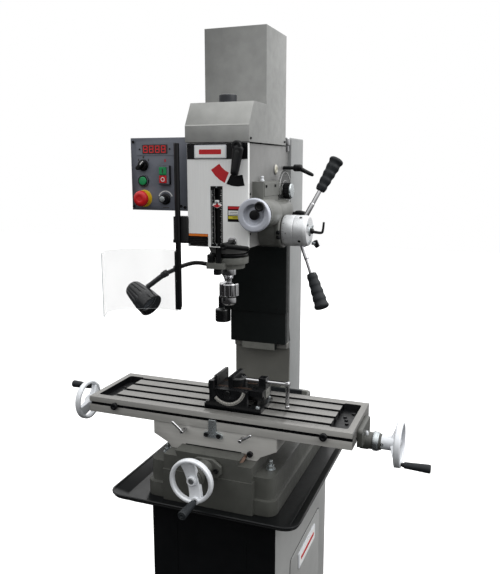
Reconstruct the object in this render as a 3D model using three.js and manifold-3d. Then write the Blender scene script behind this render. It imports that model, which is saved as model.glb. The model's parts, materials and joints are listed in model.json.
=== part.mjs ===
// Bench-type vertical milling machine on a cabinet stand, as an assembly of separate named pieces.
// Millimetres, +Z up. Origin: on the floor under the middle of the stand. +X to the operator's right,
// -Y towards the operator, who stands in front of the table.
import * as THREE from "three";
import { mergeVertices } from "three/addons/utils/BufferGeometryUtils.js";
import Module from "manifold-3d";

const wasm = await Module();
wasm.setup();

// ---------------------------------------------------------------- driving dimensions
const GAP = 0.3; // clearance between neighbouring pieces
const SPINDLE_Y = -151; // the spindle axis stands at X = 0
const TABLE_X = -5; // middle of the table at rest
const TABLE_Y = -160;
const TABLE_TOP = 1028;
const TABLE_LENGTH = 820;
const TABLE_WIDTH = 241;
const TABLE_THICK = 48;
const SLOT_PITCH = 54; // between the four T-slots
const X_SCREW_Z = 964;
const Y_SCREW_Z = 889;
const SCREW_R = 8;
const STAND_HALF = 197;
const STAND_FRONT = -293;
const STAND_BACK = 296;
const STAND_TOP = 758;
const SHEET = 3;
const TRAY_HALF = 289;
const TRAY_FRONT = -400;
const TRAY_BACK = 340;
const TRAY_RIM = 788;
const FLANGE_TOP = 806;
const PAD_TOP = 871;
const WAY_Z = 903; // flat ways of the base
const WAY_HALF = 136;
const DOVETAIL_TOP = 920;
const COLUMN_FOOT = 922;
const COLUMN_WAY_FOOT = 1119; // lower end of the column ways
const COLUMN_HALF = 97;
const COLUMN_FRONT = 143;
const COLUMN_BACK = 280;
const COLUMN_TOP = 1815;
const Z_SCREW_Y = 136;
const HEAD_HALF = 88;
const HEAD_FRONT = -231;
const HEAD_BACK = 64;
const HEAD_BOTTOM = 1501;
const HEAD_TOP = 1786;
const HOOD_HALF = 95;
const HOOD_TOP = 2113;
const HOOD_SHEET = 2;
const QUILL_R = 37.5;
const CLAMP_BOTTOM = 1433;
const CLAMP_TOP = 1467;
const CHUCK_BOTTOM = 1321;
const WHEEL_R = 63.5;
const WHEEL_THICK = 19;
const GRIP_ORBIT = 54; // handwheel axis to its handle
const GRIP_LENGTH = 80;
const CAPSTAN_Y = -100;
const CAPSTAN_Z = 1543;
const FEED_WHEEL = { x: 123.5, y: -270, z: 1597, r: 45 };
const GUARD = { x: -119, y: -240, bottom: 1323, top: 1788 };
const BOX = { left: -282, right: -96.5, front: -210, back: -150, bottom: 1599, top: 1805 };
const VISE = { x: 28, y: -178, screwZ: 1106, tiltZ: 1097 }; // tilt axis and screw line

// ---------------------------------------------------------------- materials
function finish(color, roughness, metalness) {
  return new THREE.MeshStandardMaterial({ color, roughness, metalness });
}
const castGrey = finish(0x55564f, 0.55, 0.1);
const sheetGrey = finish(0x8a8b84, 0.5, 0.1);
const machined = finish(0xa9a6a0, 0.35, 0.9);
const steel = finish(0xb8b8b6, 0.3, 1.0);
const chrome = finish(0xd6d6d8, 0.12, 1.0);
const wheelGrey = finish(0xb4b6ba, 0.45, 0.6);
const black = finish(0x17181a, 0.45, 0.0);
const rubberGrey = finish(0x34363a, 0.8, 0.0);
const trayBlack = finish(0x101114, 0.25, 0.1);
const boxBlue = finish(0x555a66, 0.5, 0.1);
const red = finish(0xc8232b, 0.4, 0.0);
const green = finish(0x1e9a55, 0.4, 0.0);
const clear = new THREE.MeshStandardMaterial({
  color: 0xeef4f6,
  roughness: 0.05,
  metalness: 0,
  transparent: true,
  opacity: 0.3,
});

// ---------------------------------------------------------------- solids
// A closed three.js geometry as a manifold solid, turned outside out if its faces point in.
function solid(geometry) {
  const bare = geometry.index ? geometry.toNonIndexed() : geometry.clone();
  for (const name of Object.keys(bare.attributes)) {
    if (name !== "position") bare.deleteAttribute(name);
  }
  const merged = mergeVertices(bare, 1e-4);
  const p = merged.attributes.position;
  const kept = [];
  let volume = 0;
  for (let i = 0; i < merged.index.count; i += 3) {
    const [a, b, c] = [0, 1, 2].map((k) => merged.index.getX(i + k));
    if (a === b || b === c || c === a) continue;
    kept.push(a, b, c);
    const [va, vb, vc] = [a, b, c].map((k) => new THREE.Vector3().fromBufferAttribute(p, k));
    volume += va.dot(vb.cross(vc));
  }
  if (volume < 0) {
    for (let i = 0; i < kept.length; i += 3) [kept[i + 1], kept[i + 2]] = [kept[i + 2], kept[i + 1]];
  }
  return new wasm.Manifold(
    new wasm.Mesh({
      numProp: 3,
      vertProperties: new Float32Array(p.array),
      triVerts: new Uint32Array(kept),
    }),
  );
}

// An axis letter's frame: local x, y, z laid on the named axes for an outline and its extrusion.
const OUTLINE_FRAMES = {
  x: [new THREE.Vector3(0, 1, 0), new THREE.Vector3(0, 0, 1), new THREE.Vector3(1, 0, 0)],
  y: [new THREE.Vector3(1, 0, 0), new THREE.Vector3(0, 0, 1), new THREE.Vector3(0, -1, 0)],
  z: [new THREE.Vector3(1, 0, 0), new THREE.Vector3(0, 1, 0), new THREE.Vector3(0, 0, 1)],
};
const LATHE_FRAMES = {
  x: [new THREE.Vector3(0, 1, 0), new THREE.Vector3(1, 0, 0), new THREE.Vector3(0, 0, -1)],
  y: [new THREE.Vector3(1, 0, 0), new THREE.Vector3(0, 1, 0), new THREE.Vector3(0, 0, 1)],
  z: [new THREE.Vector3(1, 0, 0), new THREE.Vector3(0, 0, 1), new THREE.Vector3(0, -1, 0)],
};

function inFrame(geometry, frame) {
  return geometry.applyMatrix4(new THREE.Matrix4().makeBasis(...frame));
}

// Where a centre given in the two other axes lies, for each axis of turning.
function centred(axis, u, v) {
  if (axis === "x") return [0, u, v];
  if (axis === "y") return [u, 0, v];
  return [u, v, 0];
}

function box(x0, x1, y0, y1, z0, z1) {
  const g = new THREE.BoxGeometry(x1 - x0, y1 - y0, z1 - z0);
  return solid(g.translate((x0 + x1) / 2, (y0 + y1) / 2, (z0 + z1) / 2));
}

// A solid of revolution about an axis, from [radius, place along the axis] points.
function turned(axis, profile, u = 0, v = 0, sides = 24) {
  const points = profile.map(([r, along]) => new THREE.Vector2(r, along));
  const g = inFrame(new THREE.LatheGeometry(points, sides), LATHE_FRAMES[axis]);
  return solid(g.translate(...centred(axis, u, v)));
}

function rod(axis, from, to, r, u = 0, v = 0, sides = 24) {
  return turned(axis, [[0, from], [r, from], [r, to], [0, to]], u, v, sides);
}

// An outline in the two other axes (in X, Y, Z order), extruded from one place to another.
function prism(axis, outline, from, to) {
  const shape = outline instanceof THREE.Shape ? outline : new THREE.Shape(
    outline.map(([a, b]) => new THREE.Vector2(a, b)),
  );
  const g = new THREE.ExtrudeGeometry(shape, { depth: to - from, bevelEnabled: false, curveSegments: 5 });
  inFrame(g, OUTLINE_FRAMES[axis]);
  const ends = axis === "y" ? to : from;
  const shift = ["x", "y", "z"].map((name) => (name === axis ? ends : 0));
  return solid(g.translate(...shift));
}

function roundedRect(x0, x1, y0, y1, r) {
  const s = new THREE.Shape();
  s.moveTo(x0 + r, y0);
  s.lineTo(x1 - r, y0);
  s.absarc(x1 - r, y0 + r, r, -Math.PI / 2, 0);
  s.lineTo(x1, y1 - r);
  s.absarc(x1 - r, y1 - r, r, 0, Math.PI / 2);
  s.lineTo(x0 + r, y1);
  s.absarc(x0 + r, y1 - r, r, Math.PI / 2, Math.PI);
  s.lineTo(x0, y0 + r);
  s.absarc(x0 + r, y0 + r, r, Math.PI, Math.PI * 1.5);
  return s;
}

// A rounded rectangle that widens from its foot to its top.
function flared(foot, top, z0, z1, r) {
  const g = new THREE.ExtrudeGeometry(roundedRect(top.x0, top.x1, top.y0, top.y1, r), {
    depth: z1 - z0,
    bevelEnabled: false,
    curveSegments: 4,
  });
  const p = g.attributes.position;
  const kx = (foot.x1 - foot.x0) / (top.x1 - top.x0);
  const ky = (foot.y1 - foot.y0) / (top.y1 - top.y0);
  for (let i = 0; i < p.count; i++) {
    if (p.getZ(i) > (z1 - z0) / 2) continue;
    p.setX(i, foot.x0 + (p.getX(i) - top.x0) * kx);
    p.setY(i, foot.y0 + (p.getY(i) - top.y0) * ky);
  }
  return solid(g.translate(0, 0, z0));
}

// A round bar along a smooth curve through points.
function bentBar(points, r, steps, sides = 5) {
  const curve = new THREE.CatmullRomCurve3(points.map((p) => new THREE.Vector3(...p)));
  const section = new THREE.Shape();
  section.absarc(0, 0, r, 0, Math.PI * 2);
  const g = new THREE.ExtrudeGeometry(
    section, { steps, extrudePath: curve, curveSegments: sides, bevelEnabled: false },
  );
  return solid(g);
}

// A straight bar of changing radius between two points: profile is [radius, distance from the start].
function slantedTurning(start, direction, profile, sides = 16) {
  const points = profile.map(([r, along]) => new THREE.Vector2(r, along));
  const g = new THREE.LatheGeometry(points, sides);
  const turn = new THREE.Quaternion().setFromUnitVectors(
    new THREE.Vector3(0, 1, 0),
    new THREE.Vector3(...direction).normalize(),
  );
  return solid(g.applyQuaternion(turn).translate(...start));
}

function joined(...pieces) {
  return pieces.reduce((a, b) => a.add(b));
}

function cut(body, ...tools) {
  return tools.reduce((a, b) => a.subtract(b), body);
}

const machine = new THREE.Group();

function group(parent = machine, position = [0, 0, 0]) {
  const g = new THREE.Group();
  g.position.set(...position);
  parent.add(g);
  return g;
}

// Puts a solid into the scene as a named mesh.
function piece(name, body, material, parent = machine, position = [0, 0, 0], rotation = [0, 0, 0]) {
  const m = body.getMesh();
  const places = new Float32Array(m.numVert * 3);
  for (let i = 0; i < m.numVert; i++) {
    places.set(m.vertProperties.subarray(i * m.numProp, i * m.numProp + 3), i * 3);
  }
  const g = new THREE.BufferGeometry();
  g.setAttribute("position", new THREE.BufferAttribute(places, 3));
  g.setIndex(new THREE.BufferAttribute(m.triVerts, 1));
  g.computeVertexNormals();
  const mesh = new THREE.Mesh(g, material);
  mesh.name = name;
  mesh.position.set(...position);
  mesh.rotation.set(...rotation);
  parent.add(mesh);
  return mesh;
}

// ---------------------------------------------------------------- stand and tray
const DOOR = { y0: -149, y1: 198, z0: 62, z1: 528, thick: 2.2 };

function cabinetStand() {
  const inside = box(
    -STAND_HALF + SHEET, STAND_HALF - SHEET, STAND_FRONT + SHEET, STAND_BACK - SHEET, SHEET,
    STAND_TOP - SHEET,
  );
  const lap = 12;
  const doorway = box(
    STAND_HALF - 10, STAND_HALF + 10, DOOR.y0 + lap, DOOR.y1 - lap, DOOR.z0 + lap, DOOR.z1 - lap,
  );
  return cut(box(-STAND_HALF, STAND_HALF, STAND_FRONT, STAND_BACK, 0, STAND_TOP), inside, doorway);
}

function cabinetDoor() {
  const outline = roundedRect(DOOR.y0, DOOR.y1, DOOR.z0, DOOR.z1, 22);
  return prism("x", outline, STAND_HALF + GAP, STAND_HALF + GAP + DOOR.thick);
}

function chipTray() {
  const floor = STAND_TOP + GAP;
  const foot = { x0: -257, x1: 257, y0: -368, y1: 308 };
  const rim = { x0: -TRAY_HALF, x1: TRAY_HALF, y0: TRAY_FRONT, y1: TRAY_BACK };
  const inset = (r, d) => ({ x0: r.x0 + d, x1: r.x1 - d, y0: r.y0 + d, y1: r.y1 - d });
  const shell = flared(foot, rim, floor, TRAY_RIM, 45);
  return cut(shell, flared(inset(foot, SHEET), inset(rim, SHEET), floor + SHEET, TRAY_RIM + 1, 42));
}

// ---------------------------------------------------------------- base and column
function dovetail(axis, narrow, wide, low, high, from, to, centre = 0) {
  const outline = [
    [centre - narrow, low],
    [centre + narrow, low],
    [centre + wide, high],
    [centre - wide, high],
  ];
  return prism(axis, outline, from, to);
}

function machineBase() {
  const foot = STAND_TOP + GAP + SHEET + GAP;
  const flange = prism("z", roundedRect(-202, 202, -318, 300, 30), foot, FLANGE_TOP);
  const pads = prism("z", roundedRect(-193, 193, -308, 300, 24), FLANGE_TOP - 1, PAD_TOP);
  const ways = box(-WAY_HALF, WAY_HALF, -326, 200, foot, WAY_Z);
  const skirt = box(-WAY_HALF - 3, WAY_HALF + 3, -329, -200, foot, 858);
  const rail = dovetail("y", 92, 100, WAY_Z - 1, DOVETAIL_TOP, -326, 128);
  const pedestal = prism("z", roundedRect(-138, 138, 128, 300, 28), foot, COLUMN_FOOT);
  const channel = box(-32, 32, -280, 122, 858, DOVETAIL_TOP + 1);
  const frontBore = rod("y", -330, -278, SCREW_R + 4, 0, Y_SCREW_Z);
  return cut(joined(flange, pads, ways, skirt, rail, pedestal), channel, frontBore);
}

function screwBracket() {
  const outline = [
    [-50, 876], [-38, 862], [38, 862], [50, 876], [50, 898], [24, 916], [-24, 916], [-50, 898],
  ];
  const plate = prism("y", outline, -340, -329 - GAP);
  const boss = turned("y", [
    [0, -395], [18, -395], [24, -339], [24, -329 - GAP], [0, -329 - GAP],
  ], 0, Y_SCREW_Z);
  const bore = rod("y", -396, -326, SCREW_R + GAP, 0, Y_SCREW_Z);
  return cut(joined(plate, boss), bore);
}

function column() {
  const body = box(-COLUMN_HALF, COLUMN_HALF, COLUMN_FRONT, COLUMN_BACK, COLUMN_FOOT + GAP, COLUMN_TOP);
  const rail = prism("z", [
    [-50, COLUMN_FRONT + 1], [-60, 121], [60, 121], [50, COLUMN_FRONT + 1],
  ], COLUMN_WAY_FOOT, COLUMN_TOP);
  const channel = box(-15, 15, 120, 152, COLUMN_WAY_FOOT + 30, COLUMN_TOP - 20);
  const hollow = box(-80, 80, 166, COLUMN_BACK - 18, COLUMN_FOOT - 1, COLUMN_TOP - 18);
  const railFoot = box(-93, 96, 121, COLUMN_FRONT + 1, COLUMN_WAY_FOOT, 1141);
  return cut(joined(body, rail, railFoot), channel, hollow);
}

function elevationScrew() {
  return rod("z", COLUMN_WAY_FOOT + 34, COLUMN_TOP - 30, SCREW_R, 0, Z_SCREW_Y, 16);
}

function elevationCrank() {
  const centreY = 212;
  const centreZ = 1728;
  const out = -COLUMN_HALF - GAP;
  const arm = 90;
  const shaft = rod("x", out - 34, out, 9, centreY, centreZ, 16);
  const lever = box(out - 34, out - 22, centreY - 11, centreY + 11, centreZ - arm, centreZ + 14);
  const handle = turned("x", [
    [0, out - 118], [13, out - 114], [10, out - 40], [0, out - 33],
  ], centreY, centreZ - arm + 12, 16);
  return joined(shaft, lever, handle);
}

// ---------------------------------------------------------------- saddle
const SADDLE = { half: 193, front: -278, back: -42, top: TABLE_TOP - TABLE_THICK - GAP };
const CROSS = { narrow: 59.5, wide: 68, height: 15 }; // dovetail on top of the saddle

function saddle() {
  const under = WAY_Z + GAP;
  const section = [
    [-134, under], [134, under], [145, 916], [SADDLE.half, 940], [SADDLE.half, SADDLE.top],
    [-SADDLE.half, SADDLE.top], [-SADDLE.half, 940], [-145, 916],
  ];
  const body = prism("y", section, SADDLE.front, SADDLE.back);
  const groove = dovetail(
    "y", 92 + GAP * 2, 100 + GAP * 2, under - 1, DOVETAIL_TOP + GAP, SADDLE.front - 1,
    SADDLE.back + 1,
  );
  const rail = prism("x", [
    [TABLE_Y - CROSS.narrow, SADDLE.top - 1], [TABLE_Y + CROSS.narrow, SADDLE.top - 1],
    [TABLE_Y + CROSS.wide, SADDLE.top + CROSS.height], [TABLE_Y - CROSS.wide, SADDLE.top + CROSS.height],
  ], -SADDLE.half, SADDLE.half);
  const channel = box(
    -SADDLE.half - 1, SADDLE.half + 1, TABLE_Y - 16, TABLE_Y + 16, X_SCREW_Z - 18, TABLE_TOP,
  );
  const tableNut = box(-26, 26, TABLE_Y - 17, TABLE_Y + 17, X_SCREW_Z - 19, X_SCREW_Z + 14);
  const tableNutBore = rod("x", -30, 30, SCREW_R + GAP, TABLE_Y, X_SCREW_Z);
  const crossNut = box(-20, 20, TABLE_Y - 18, TABLE_Y + 18, Y_SCREW_Z - 15, DOVETAIL_TOP + 4);
  const crossNutBore = rod("y", TABLE_Y - 26, TABLE_Y + 26, SCREW_R + GAP, 0, Y_SCREW_Z);
  const shaped = cut(joined(body, rail), groove, channel);
  return cut(joined(shaped, tableNut, crossNut), tableNutBore, crossNutBore);
}

// A clamping lever on the saddle's front face: a stud with a steel bar that leans out to its tip.
function saddleLock(name, x, z, tip, parent) {
  const y = SADDLE.front - GAP;
  const hub = rod("y", y - 28, y, 5.5, 0, 0, 12);
  const bar = slantedTurning([0, y - 22, 0], [tip[0], -7, tip[1]], [
    [0, 0], [4, 0], [3.6, 40], [2.8, 43], [0, 43],
  ], 10);
  piece(name, joined(hub, bar), chrome, parent, [x, 0, z]);
}

// ---------------------------------------------------------------- table
function tSlot(y) {
  const mouth = box(-341, 341, y - 8, y + 8, TABLE_TOP - 11, TABLE_TOP + 1);
  const foot = box(-341, 341, y - 13, y + 13, TABLE_TOP - 19, TABLE_TOP - 10);
  return joined(mouth, foot);
}

function table() {
  const half = TABLE_LENGTH / 2;
  const under = TABLE_TOP - TABLE_THICK;
  const body = box(-half, half, -TABLE_WIDTH / 2, TABLE_WIDTH / 2, under, TABLE_TOP);
  const slots = [-1.5, -0.5, 0.5, 1.5].map((k) => tSlot(k * SLOT_PITCH));
  const pockets = [-1, 1].map((side) => {
    const ends = [side * 340, side * 392.5].sort((a, b) => a - b);
    return prism("z", roundedRect(ends[0], ends[1], -95, 95, 8), TABLE_TOP - 19, TABLE_TOP + 1);
  });
  const frontGroove = box(
    -half - 1, half + 1, -TABLE_WIDTH / 2 - 1, -TABLE_WIDTH / 2 + 9, TABLE_TOP - 24,
    TABLE_TOP - 15.5,
  );
  const low = under - 1;
  const high = under + CROSS.height;
  const groove = prism("x", [
    [-CROSS.narrow - 1, low], [CROSS.narrow + 1, low], [CROSS.wide + 1, high], [-CROSS.wide - 1, high],
  ], -half - 1, half + 1);
  return cut(body, ...slots, ...pockets, frontGroove, groove);
}

// The cast bracket on one end of the table, with the bearing of the long screw.
function endBracket(name, side, length, parent) {
  const face = TABLE_LENGTH / 2 + GAP;
  const flange = prism("x", roundedRect(-62, 62, -66, -14, 10), face, face + 15);
  const boss = turned("x", [
    [0, face], [26, face], [26, face + 20], [24, face + 26], [24, face + length],
    [0, face + length],
  ], 0, -64);
  const bore = rod("x", face - 1, face + length + 1, SCREW_R + GAP, 0, -64);
  const bracket = cut(joined(flange, boss), bore);
  piece(name, bracket, castGrey, parent, [0, 0, 0], [0, 0, side > 0 ? 0 : Math.PI]);
}

function stopDog(name, x, parent) {
  const y = -TABLE_WIDTH / 2;
  const head = rod("y", y - 11, y - GAP, 11, 0, 0, 16);
  const shank = rod("y", y - 1, y + 6, 3, 0, 0, 8);
  piece(name, joined(head, shank), black, parent, [x, 0, -20]);
}

// A handwheel about local +Z, its rim's middle at z = 0: rim, one flat bar across it and a hub.
function handwheel(hub) {
  const half = WHEEL_THICK / 2;
  const rim = turned("z", [
    [52.5, -half + 3], [56, -half], [61, -half], [WHEEL_R, -half + 4],
    [WHEEL_R, half - 4], [61, half], [56, half], [52.5, half - 3], [52.5, -half + 3],
  ], 0, 0, 28);
  const plan = prism("z", [[-13, -56], [13, -56], [20, 0], [13, 56], [-13, 56], [-20, 0]], -30, 4);
  const bar = plan.intersect(prism("x", [
    [-54, -7], [-18, -28], [18, -28], [54, -7], [54, 3], [-54, 3],
  ], -21, 21));
  const eye = rod("z", -half + 1, half, 11, 0, -GRIP_ORBIT, 16);
  return joined(rim, bar, eye, turned("z", hub));
}

// The revolving handle of a handwheel, along local +Z from the wheel's face.
function wheelGrip() {
  const far = GRIP_LENGTH;
  return turned("z", [
    [0, 0], [5, 0], [5, 8], [8.5, 9], [10.5, 26], [12, far - 6], [11.5, far - 2], [0, far],
  ], 0, 0, 14);
}

// A handwheel and its handle, put on a shaft; the handle sits at an angle round the wheel.
function wheelSet(names, hub, place, rotation, angle, parent) {
  const holder = group(parent, place);
  holder.rotation.set(...rotation);
  const wheel = group(holder);
  wheel.rotation.z = angle;
  piece(names.wheel, handwheel(hub), wheelGrey, wheel);
  piece(names.grip, wheelGrip(), rubberGrey, wheel, [0, -GRIP_ORBIT, WHEEL_THICK / 2 + GAP]);
}

// ---------------------------------------------------------------- head
function headCasting() {
  const body = box(-HEAD_HALF, HEAD_HALF, HEAD_FRONT, HEAD_BACK, HEAD_BOTTOM, HEAD_TOP);
  const slide = box(-86, 86, HEAD_BACK - 1, COLUMN_FRONT - GAP, 1520, HEAD_TOP);
  const collar = turned("z", [
    [0, 1479], [53, 1479], [56, 1486], [62, HEAD_BOTTOM + 1], [0, HEAD_BOTTOM + 1],
  ], 0, SPINDLE_Y, 32);
  const gearBox = box(HEAD_HALF - 1, 121, -192, 30, 1560, 1683);
  const wormProfile = [[0, -246], [40, -246], [40, -154], [31.5, -150], [31.5, -20], [0, -20]];
  const feedHousing = turned("y", wormProfile, FEED_WHEEL.x, FEED_WHEEL.z, 20);
  const boss = turned("x", [[0, 80], [50, 80], [50, 148], [45, 152], [0, 152]], CAPSTAN_Y, CAPSTAN_Z);
  const blank = joined(body, slide, collar, gearBox, feedHousing, boss);

  const quillBore = rod("z", 1470, 1730, QUILL_R + GAP, 0, SPINDLE_Y, 32);
  const gearChamber = box(-78, 78, -226, 50, 1715, HEAD_TOP + 1);
  const depthSlot = box(-20, 16, HEAD_FRONT - 1, -212, HEAD_BOTTOM - 30, 1672);
  const railWay = prism("z", [
    [-50.5, 146], [-60.8, 120.5], [60.8, 120.5], [50.5, 146],
  ], 1500, HEAD_TOP + 1);
  const shaftBore = rod("x", 100, 153, 8, CAPSTAN_Y, CAPSTAN_Z, 16);
  const nut = box(-13, 13, 118, 149, 1600, 1650);
  const nutBore = rod("z", 1590, 1660, SCREW_R + GAP, 0, Z_SCREW_Y, 16);
  return cut(joined(cut(blank, quillBore, gearChamber, depthSlot, railWay, shaftBore), nut), nutBore);
}

function motorHood() {
  const low = HEAD_TOP + 3;
  const outline = (d) => [
    [-235 + d, low - d], [88 - d, low - d], [88 - d, HOOD_TOP - d], [-96 + d, HOOD_TOP - d],
    [-96 + d, 1898 - d], [-197 + d, 1898 - d], [-235 + d, 1834 - d * 0.6],
  ];
  const shell = prism("x", outline(0), -HOOD_HALF, HOOD_HALF);
  const inside = prism("x", outline(HOOD_SHEET), -HOOD_HALF + HOOD_SHEET, HOOD_HALF - HOOD_SHEET);
  const capRing = rod("z", 1897, 1922, 24, 0, SPINDLE_Y, 24);
  const capHollow = rod("z", 1890, 1919, 20, 0, SPINDLE_Y, 24);
  return cut(joined(shell, capRing), inside, capHollow);
}

const MOTOR_Y = -30;
const DRIVE_GEAR_R = 71.5;
const PINION_R = 47.5;

function toothedWheel(r, teeth, low, high, bore, u, v) {
  const outline = [];
  for (let i = 0; i < teeth * 4; i++) {
    const a = ((i - 0.5) / (teeth * 4)) * Math.PI * 2;
    const radius = i % 4 < 2 ? r : r - 4.5;
    outline.push([radius * Math.cos(a), radius * Math.sin(a)]);
  }
  const gear = prism("z", outline, low, high).translate([u, v, 0]);
  return bore ? cut(gear, rod("z", low - 1, high + 1, bore, u, v, 16)) : gear;
}

function driveGear() {
  const rim = toothedWheel(DRIVE_GEAR_R, 36, 1740, 1760, 15, 0, SPINDLE_Y);
  const hub = cut(rod("z", 1720, 1741, 26, 0, SPINDLE_Y), rod("z", 1719, 1742, 15, 0, SPINDLE_Y, 16));
  return joined(rim, hub);
}

function motorPinion() {
  const gear = toothedWheel(PINION_R, 24, 1740, 1764, 0, 0, MOTOR_Y);
  return joined(gear, rod("z", 1763, 1800 - GAP, 12, 0, MOTOR_Y, 16));
}

function motor() {
  const frame = turned("z", [[0, 1800], [58, 1800], [58, 2030], [50, 2060], [0, 2060]], 0, MOTOR_Y, 20);
  const feet = box(-60, 60, MOTOR_Y - 8, MOTOR_Y + 100, 1788, 1800.5);
  return cut(joined(frame, feet), rod("z", 1780, 1799.9, 16, 0, MOTOR_Y, 16));
}

function quill() {
  const sleeve = rod("z", CLAMP_BOTTOM + 3, 1690, QUILL_R, 0, SPINDLE_Y, 32);
  return cut(sleeve, rod("z", CLAMP_BOTTOM, 1700, 17, 0, SPINDLE_Y, 16));
}

// The clamp round the quill's foot, which carries the depth stop's bar and pointer up the front slot.
function depthStopClamp() {
  const ring = turned("z", [
    [QUILL_R + GAP, CLAMP_BOTTOM], [47, CLAMP_BOTTOM], [49, CLAMP_BOTTOM + 15], [58, CLAMP_BOTTOM + 15],
    [58, CLAMP_TOP], [QUILL_R + GAP, CLAMP_TOP], [QUILL_R + GAP, CLAMP_BOTTOM],
  ], 0, SPINDLE_Y, 28);
  const arm = box(-41, 12, -221, -188, CLAMP_BOTTOM + 4, CLAMP_TOP - 13);
  const lowerKnob = rod("z", 1419, CLAMP_BOTTOM + 5, 10, -14, -204, 12);
  const upperKnob = rod("z", CLAMP_TOP - 14, 1477, 9.5, -31, -211, 12);
  const bar = box(-6, 3, -221, -214, CLAMP_TOP - 14, 1630);
  const pointer = box(-15, 12, -226, -220, 1611, 1630);
  const bore = rod("z", 1400, 1480, QUILL_R + GAP, 0, SPINDLE_Y, 28);
  return cut(joined(ring, arm, lowerKnob, upperKnob, bar, pointer), bore);
}

function spindle() {
  return turned("z", [
    [0, 1392], [9, 1392], [9, 1400], [13, 1401], [21, 1412], [21, 1434], [15.5, 1434.5], [15.5, 1500],
    [14, 1502], [14, 1850], [0, 1850],
  ], 0, SPINDLE_Y, 20);
}

function drillChuck() {
  const profile = [
    [0, CHUCK_BOTTOM], [16, CHUCK_BOTTOM], [21, CHUCK_BOTTOM + 6], [21, 1347], [27, 1348],
    [29, 1351], [29, 1385.5], [27, 1388], [17, 1390.5], [10, 1391.7], [0, 1391.7],
  ];
  return turned("z", profile, 0, SPINDLE_Y, 28);
}

// ---------------------------------------------------------------- feed controls
function capstanHub() {
  const hub = turned("x", [
    [0, 152.5], [7, 152.5], [7, 156], [44.7, 156], [44.7, 188], [43, 189], [44.7, 190],
    [44.7, 222], [40, 229], [0, 229],
  ], CAPSTAN_Y, CAPSTAN_Z, 28);
  const sockets = [119, 217].map((angle) => {
    const a = (angle * Math.PI) / 180;
    const mouth = [208, CAPSTAN_Y + 34 * Math.cos(a), CAPSTAN_Z + 34 * Math.sin(a)];
    const outward = [0, Math.cos(a), Math.sin(a)];
    return slantedTurning(mouth, outward, [[0, 0], [4, 0], [4, 14], [0, 14]], 8);
  });
  const spindleStub = rod("x", 110, 153, 7, CAPSTAN_Y, CAPSTAN_Z, 16);
  return joined(cut(hub, ...sockets), spindleStub);
}

// A feed handle: a steel rod that leans outwards, with a ribbed grip that flares at its end.
function feedHandle(name, angle, parent) {
  const lean = (23 * Math.PI) / 180;
  const a = (angle * Math.PI) / 180;
  const along = [Math.sin(lean), Math.cos(lean) * Math.cos(a), Math.cos(lean) * Math.sin(a)];
  const start = [193.3, CAPSTAN_Y, CAPSTAN_Z].map((c, i) => c + along[i] * 52);
  const rodEnd = 80;
  const profile = [[0, 0], [7, 0], [7, 36], [6, 38], [6, rodEnd], [13, rodEnd + 1]];
  const ribs = 4;
  const gripLength = 98;
  for (let i = 0; i < ribs; i++) {
    const s = rodEnd + 1 + (gripLength * (i + 0.5)) / (ribs + 0.6);
    profile.push([15.5 + i, s], [13.5 + i, s + 11]);
  }
  profile.push([21, rodEnd + gripLength], [20, rodEnd + gripLength + 5], [0, rodEnd + gripLength + 8]);
  piece(name, slantedTurning(start, along, profile), rubberGrey, parent);
}

function engageLever() {
  const x = 229 + GAP;
  const stub = rod("x", x, x + 8, 7, CAPSTAN_Y, CAPSTAN_Z, 12);
  const bar = bentBar([
    [x + 5, CAPSTAN_Y, CAPSTAN_Z], [x + 26, CAPSTAN_Y + 4, CAPSTAN_Z - 3],
    [x + 36, CAPSTAN_Y + 6, CAPSTAN_Z + 2], [x + 39, CAPSTAN_Y + 7, CAPSTAN_Z + 26],
  ], 4, 10);
  return joined(stub, bar);
}

function fineFeedWheel() {
  const y = FEED_WHEEL.y;
  const r = FEED_WHEEL.r;
  const wheel = turned("y", [
    [0, y - 6], [13, y - 6], [13, y + 2], [26, y + 4], [34, y - 8], [42, y - 10], [r, y - 4],
    [r, y + 4], [38, y + 10], [20, y + 16], [18, -246 - GAP], [0, -246 - GAP],
  ], FEED_WHEEL.x, FEED_WHEEL.z, 32);
  const knob = turned("y", [
    [0, y - 34], [7, y - 33], [9, y - 26], [7, y - 12], [7, y - 8], [0, y - 8],
  ], FEED_WHEEL.x + 20, FEED_WHEEL.z + 27, 12);
  return joined(wheel, knob);
}

function feedDialKnob() {
  return turned("x", [
    [0, 121 + GAP], [12, 121 + GAP], [12, 124], [24, 124], [24, 142], [20, 146], [0, 146],
  ], 0, 1652, 20);
}

function headLockLever() {
  const [y, z] = [92, 1720];
  const shaft = rod("x", 86 + GAP, 126, 6, y, z, 12);
  const hub = turned("x", [[0, 124], [9, 124], [11, 130], [11, 144], [8, 150], [0, 151]], y, z, 12);
  const arm = slantedTurning([138, y, z - 1], [0.9, 0, -0.42], [
    [0, 0], [6, 4], [7.5, 30], [8, 52], [5, 58], [0, 60],
  ], 10);
  return joined(shaft, hub, arm);
}

function quillLockLever() {
  const y = HEAD_FRONT - GAP;
  const [x, z] = [45, 1518];
  const boss = turned("y", [[0, y - 20], [9, y - 18], [12, y - 6], [12, y], [0, y]], x, z, 14);
  const hub = rod("y", y - 34, y - 14, 9, 18, 1508, 12);
  const link = prism("y", [
    [15, 1500], [22, 1500], [52, 1512], [50, 1526], [42, 1527], [14, 1516],
  ], y - 28, y - 12);
  const arm = slantedTurning([18, y - 24, 1508], [1, 0, -0.04], [
    [0, 0], [8, 6], [7, 40], [8.5, 66], [6, 76], [0, 78],
  ], 10);
  return joined(boss, hub, link, arm);
}

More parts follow.
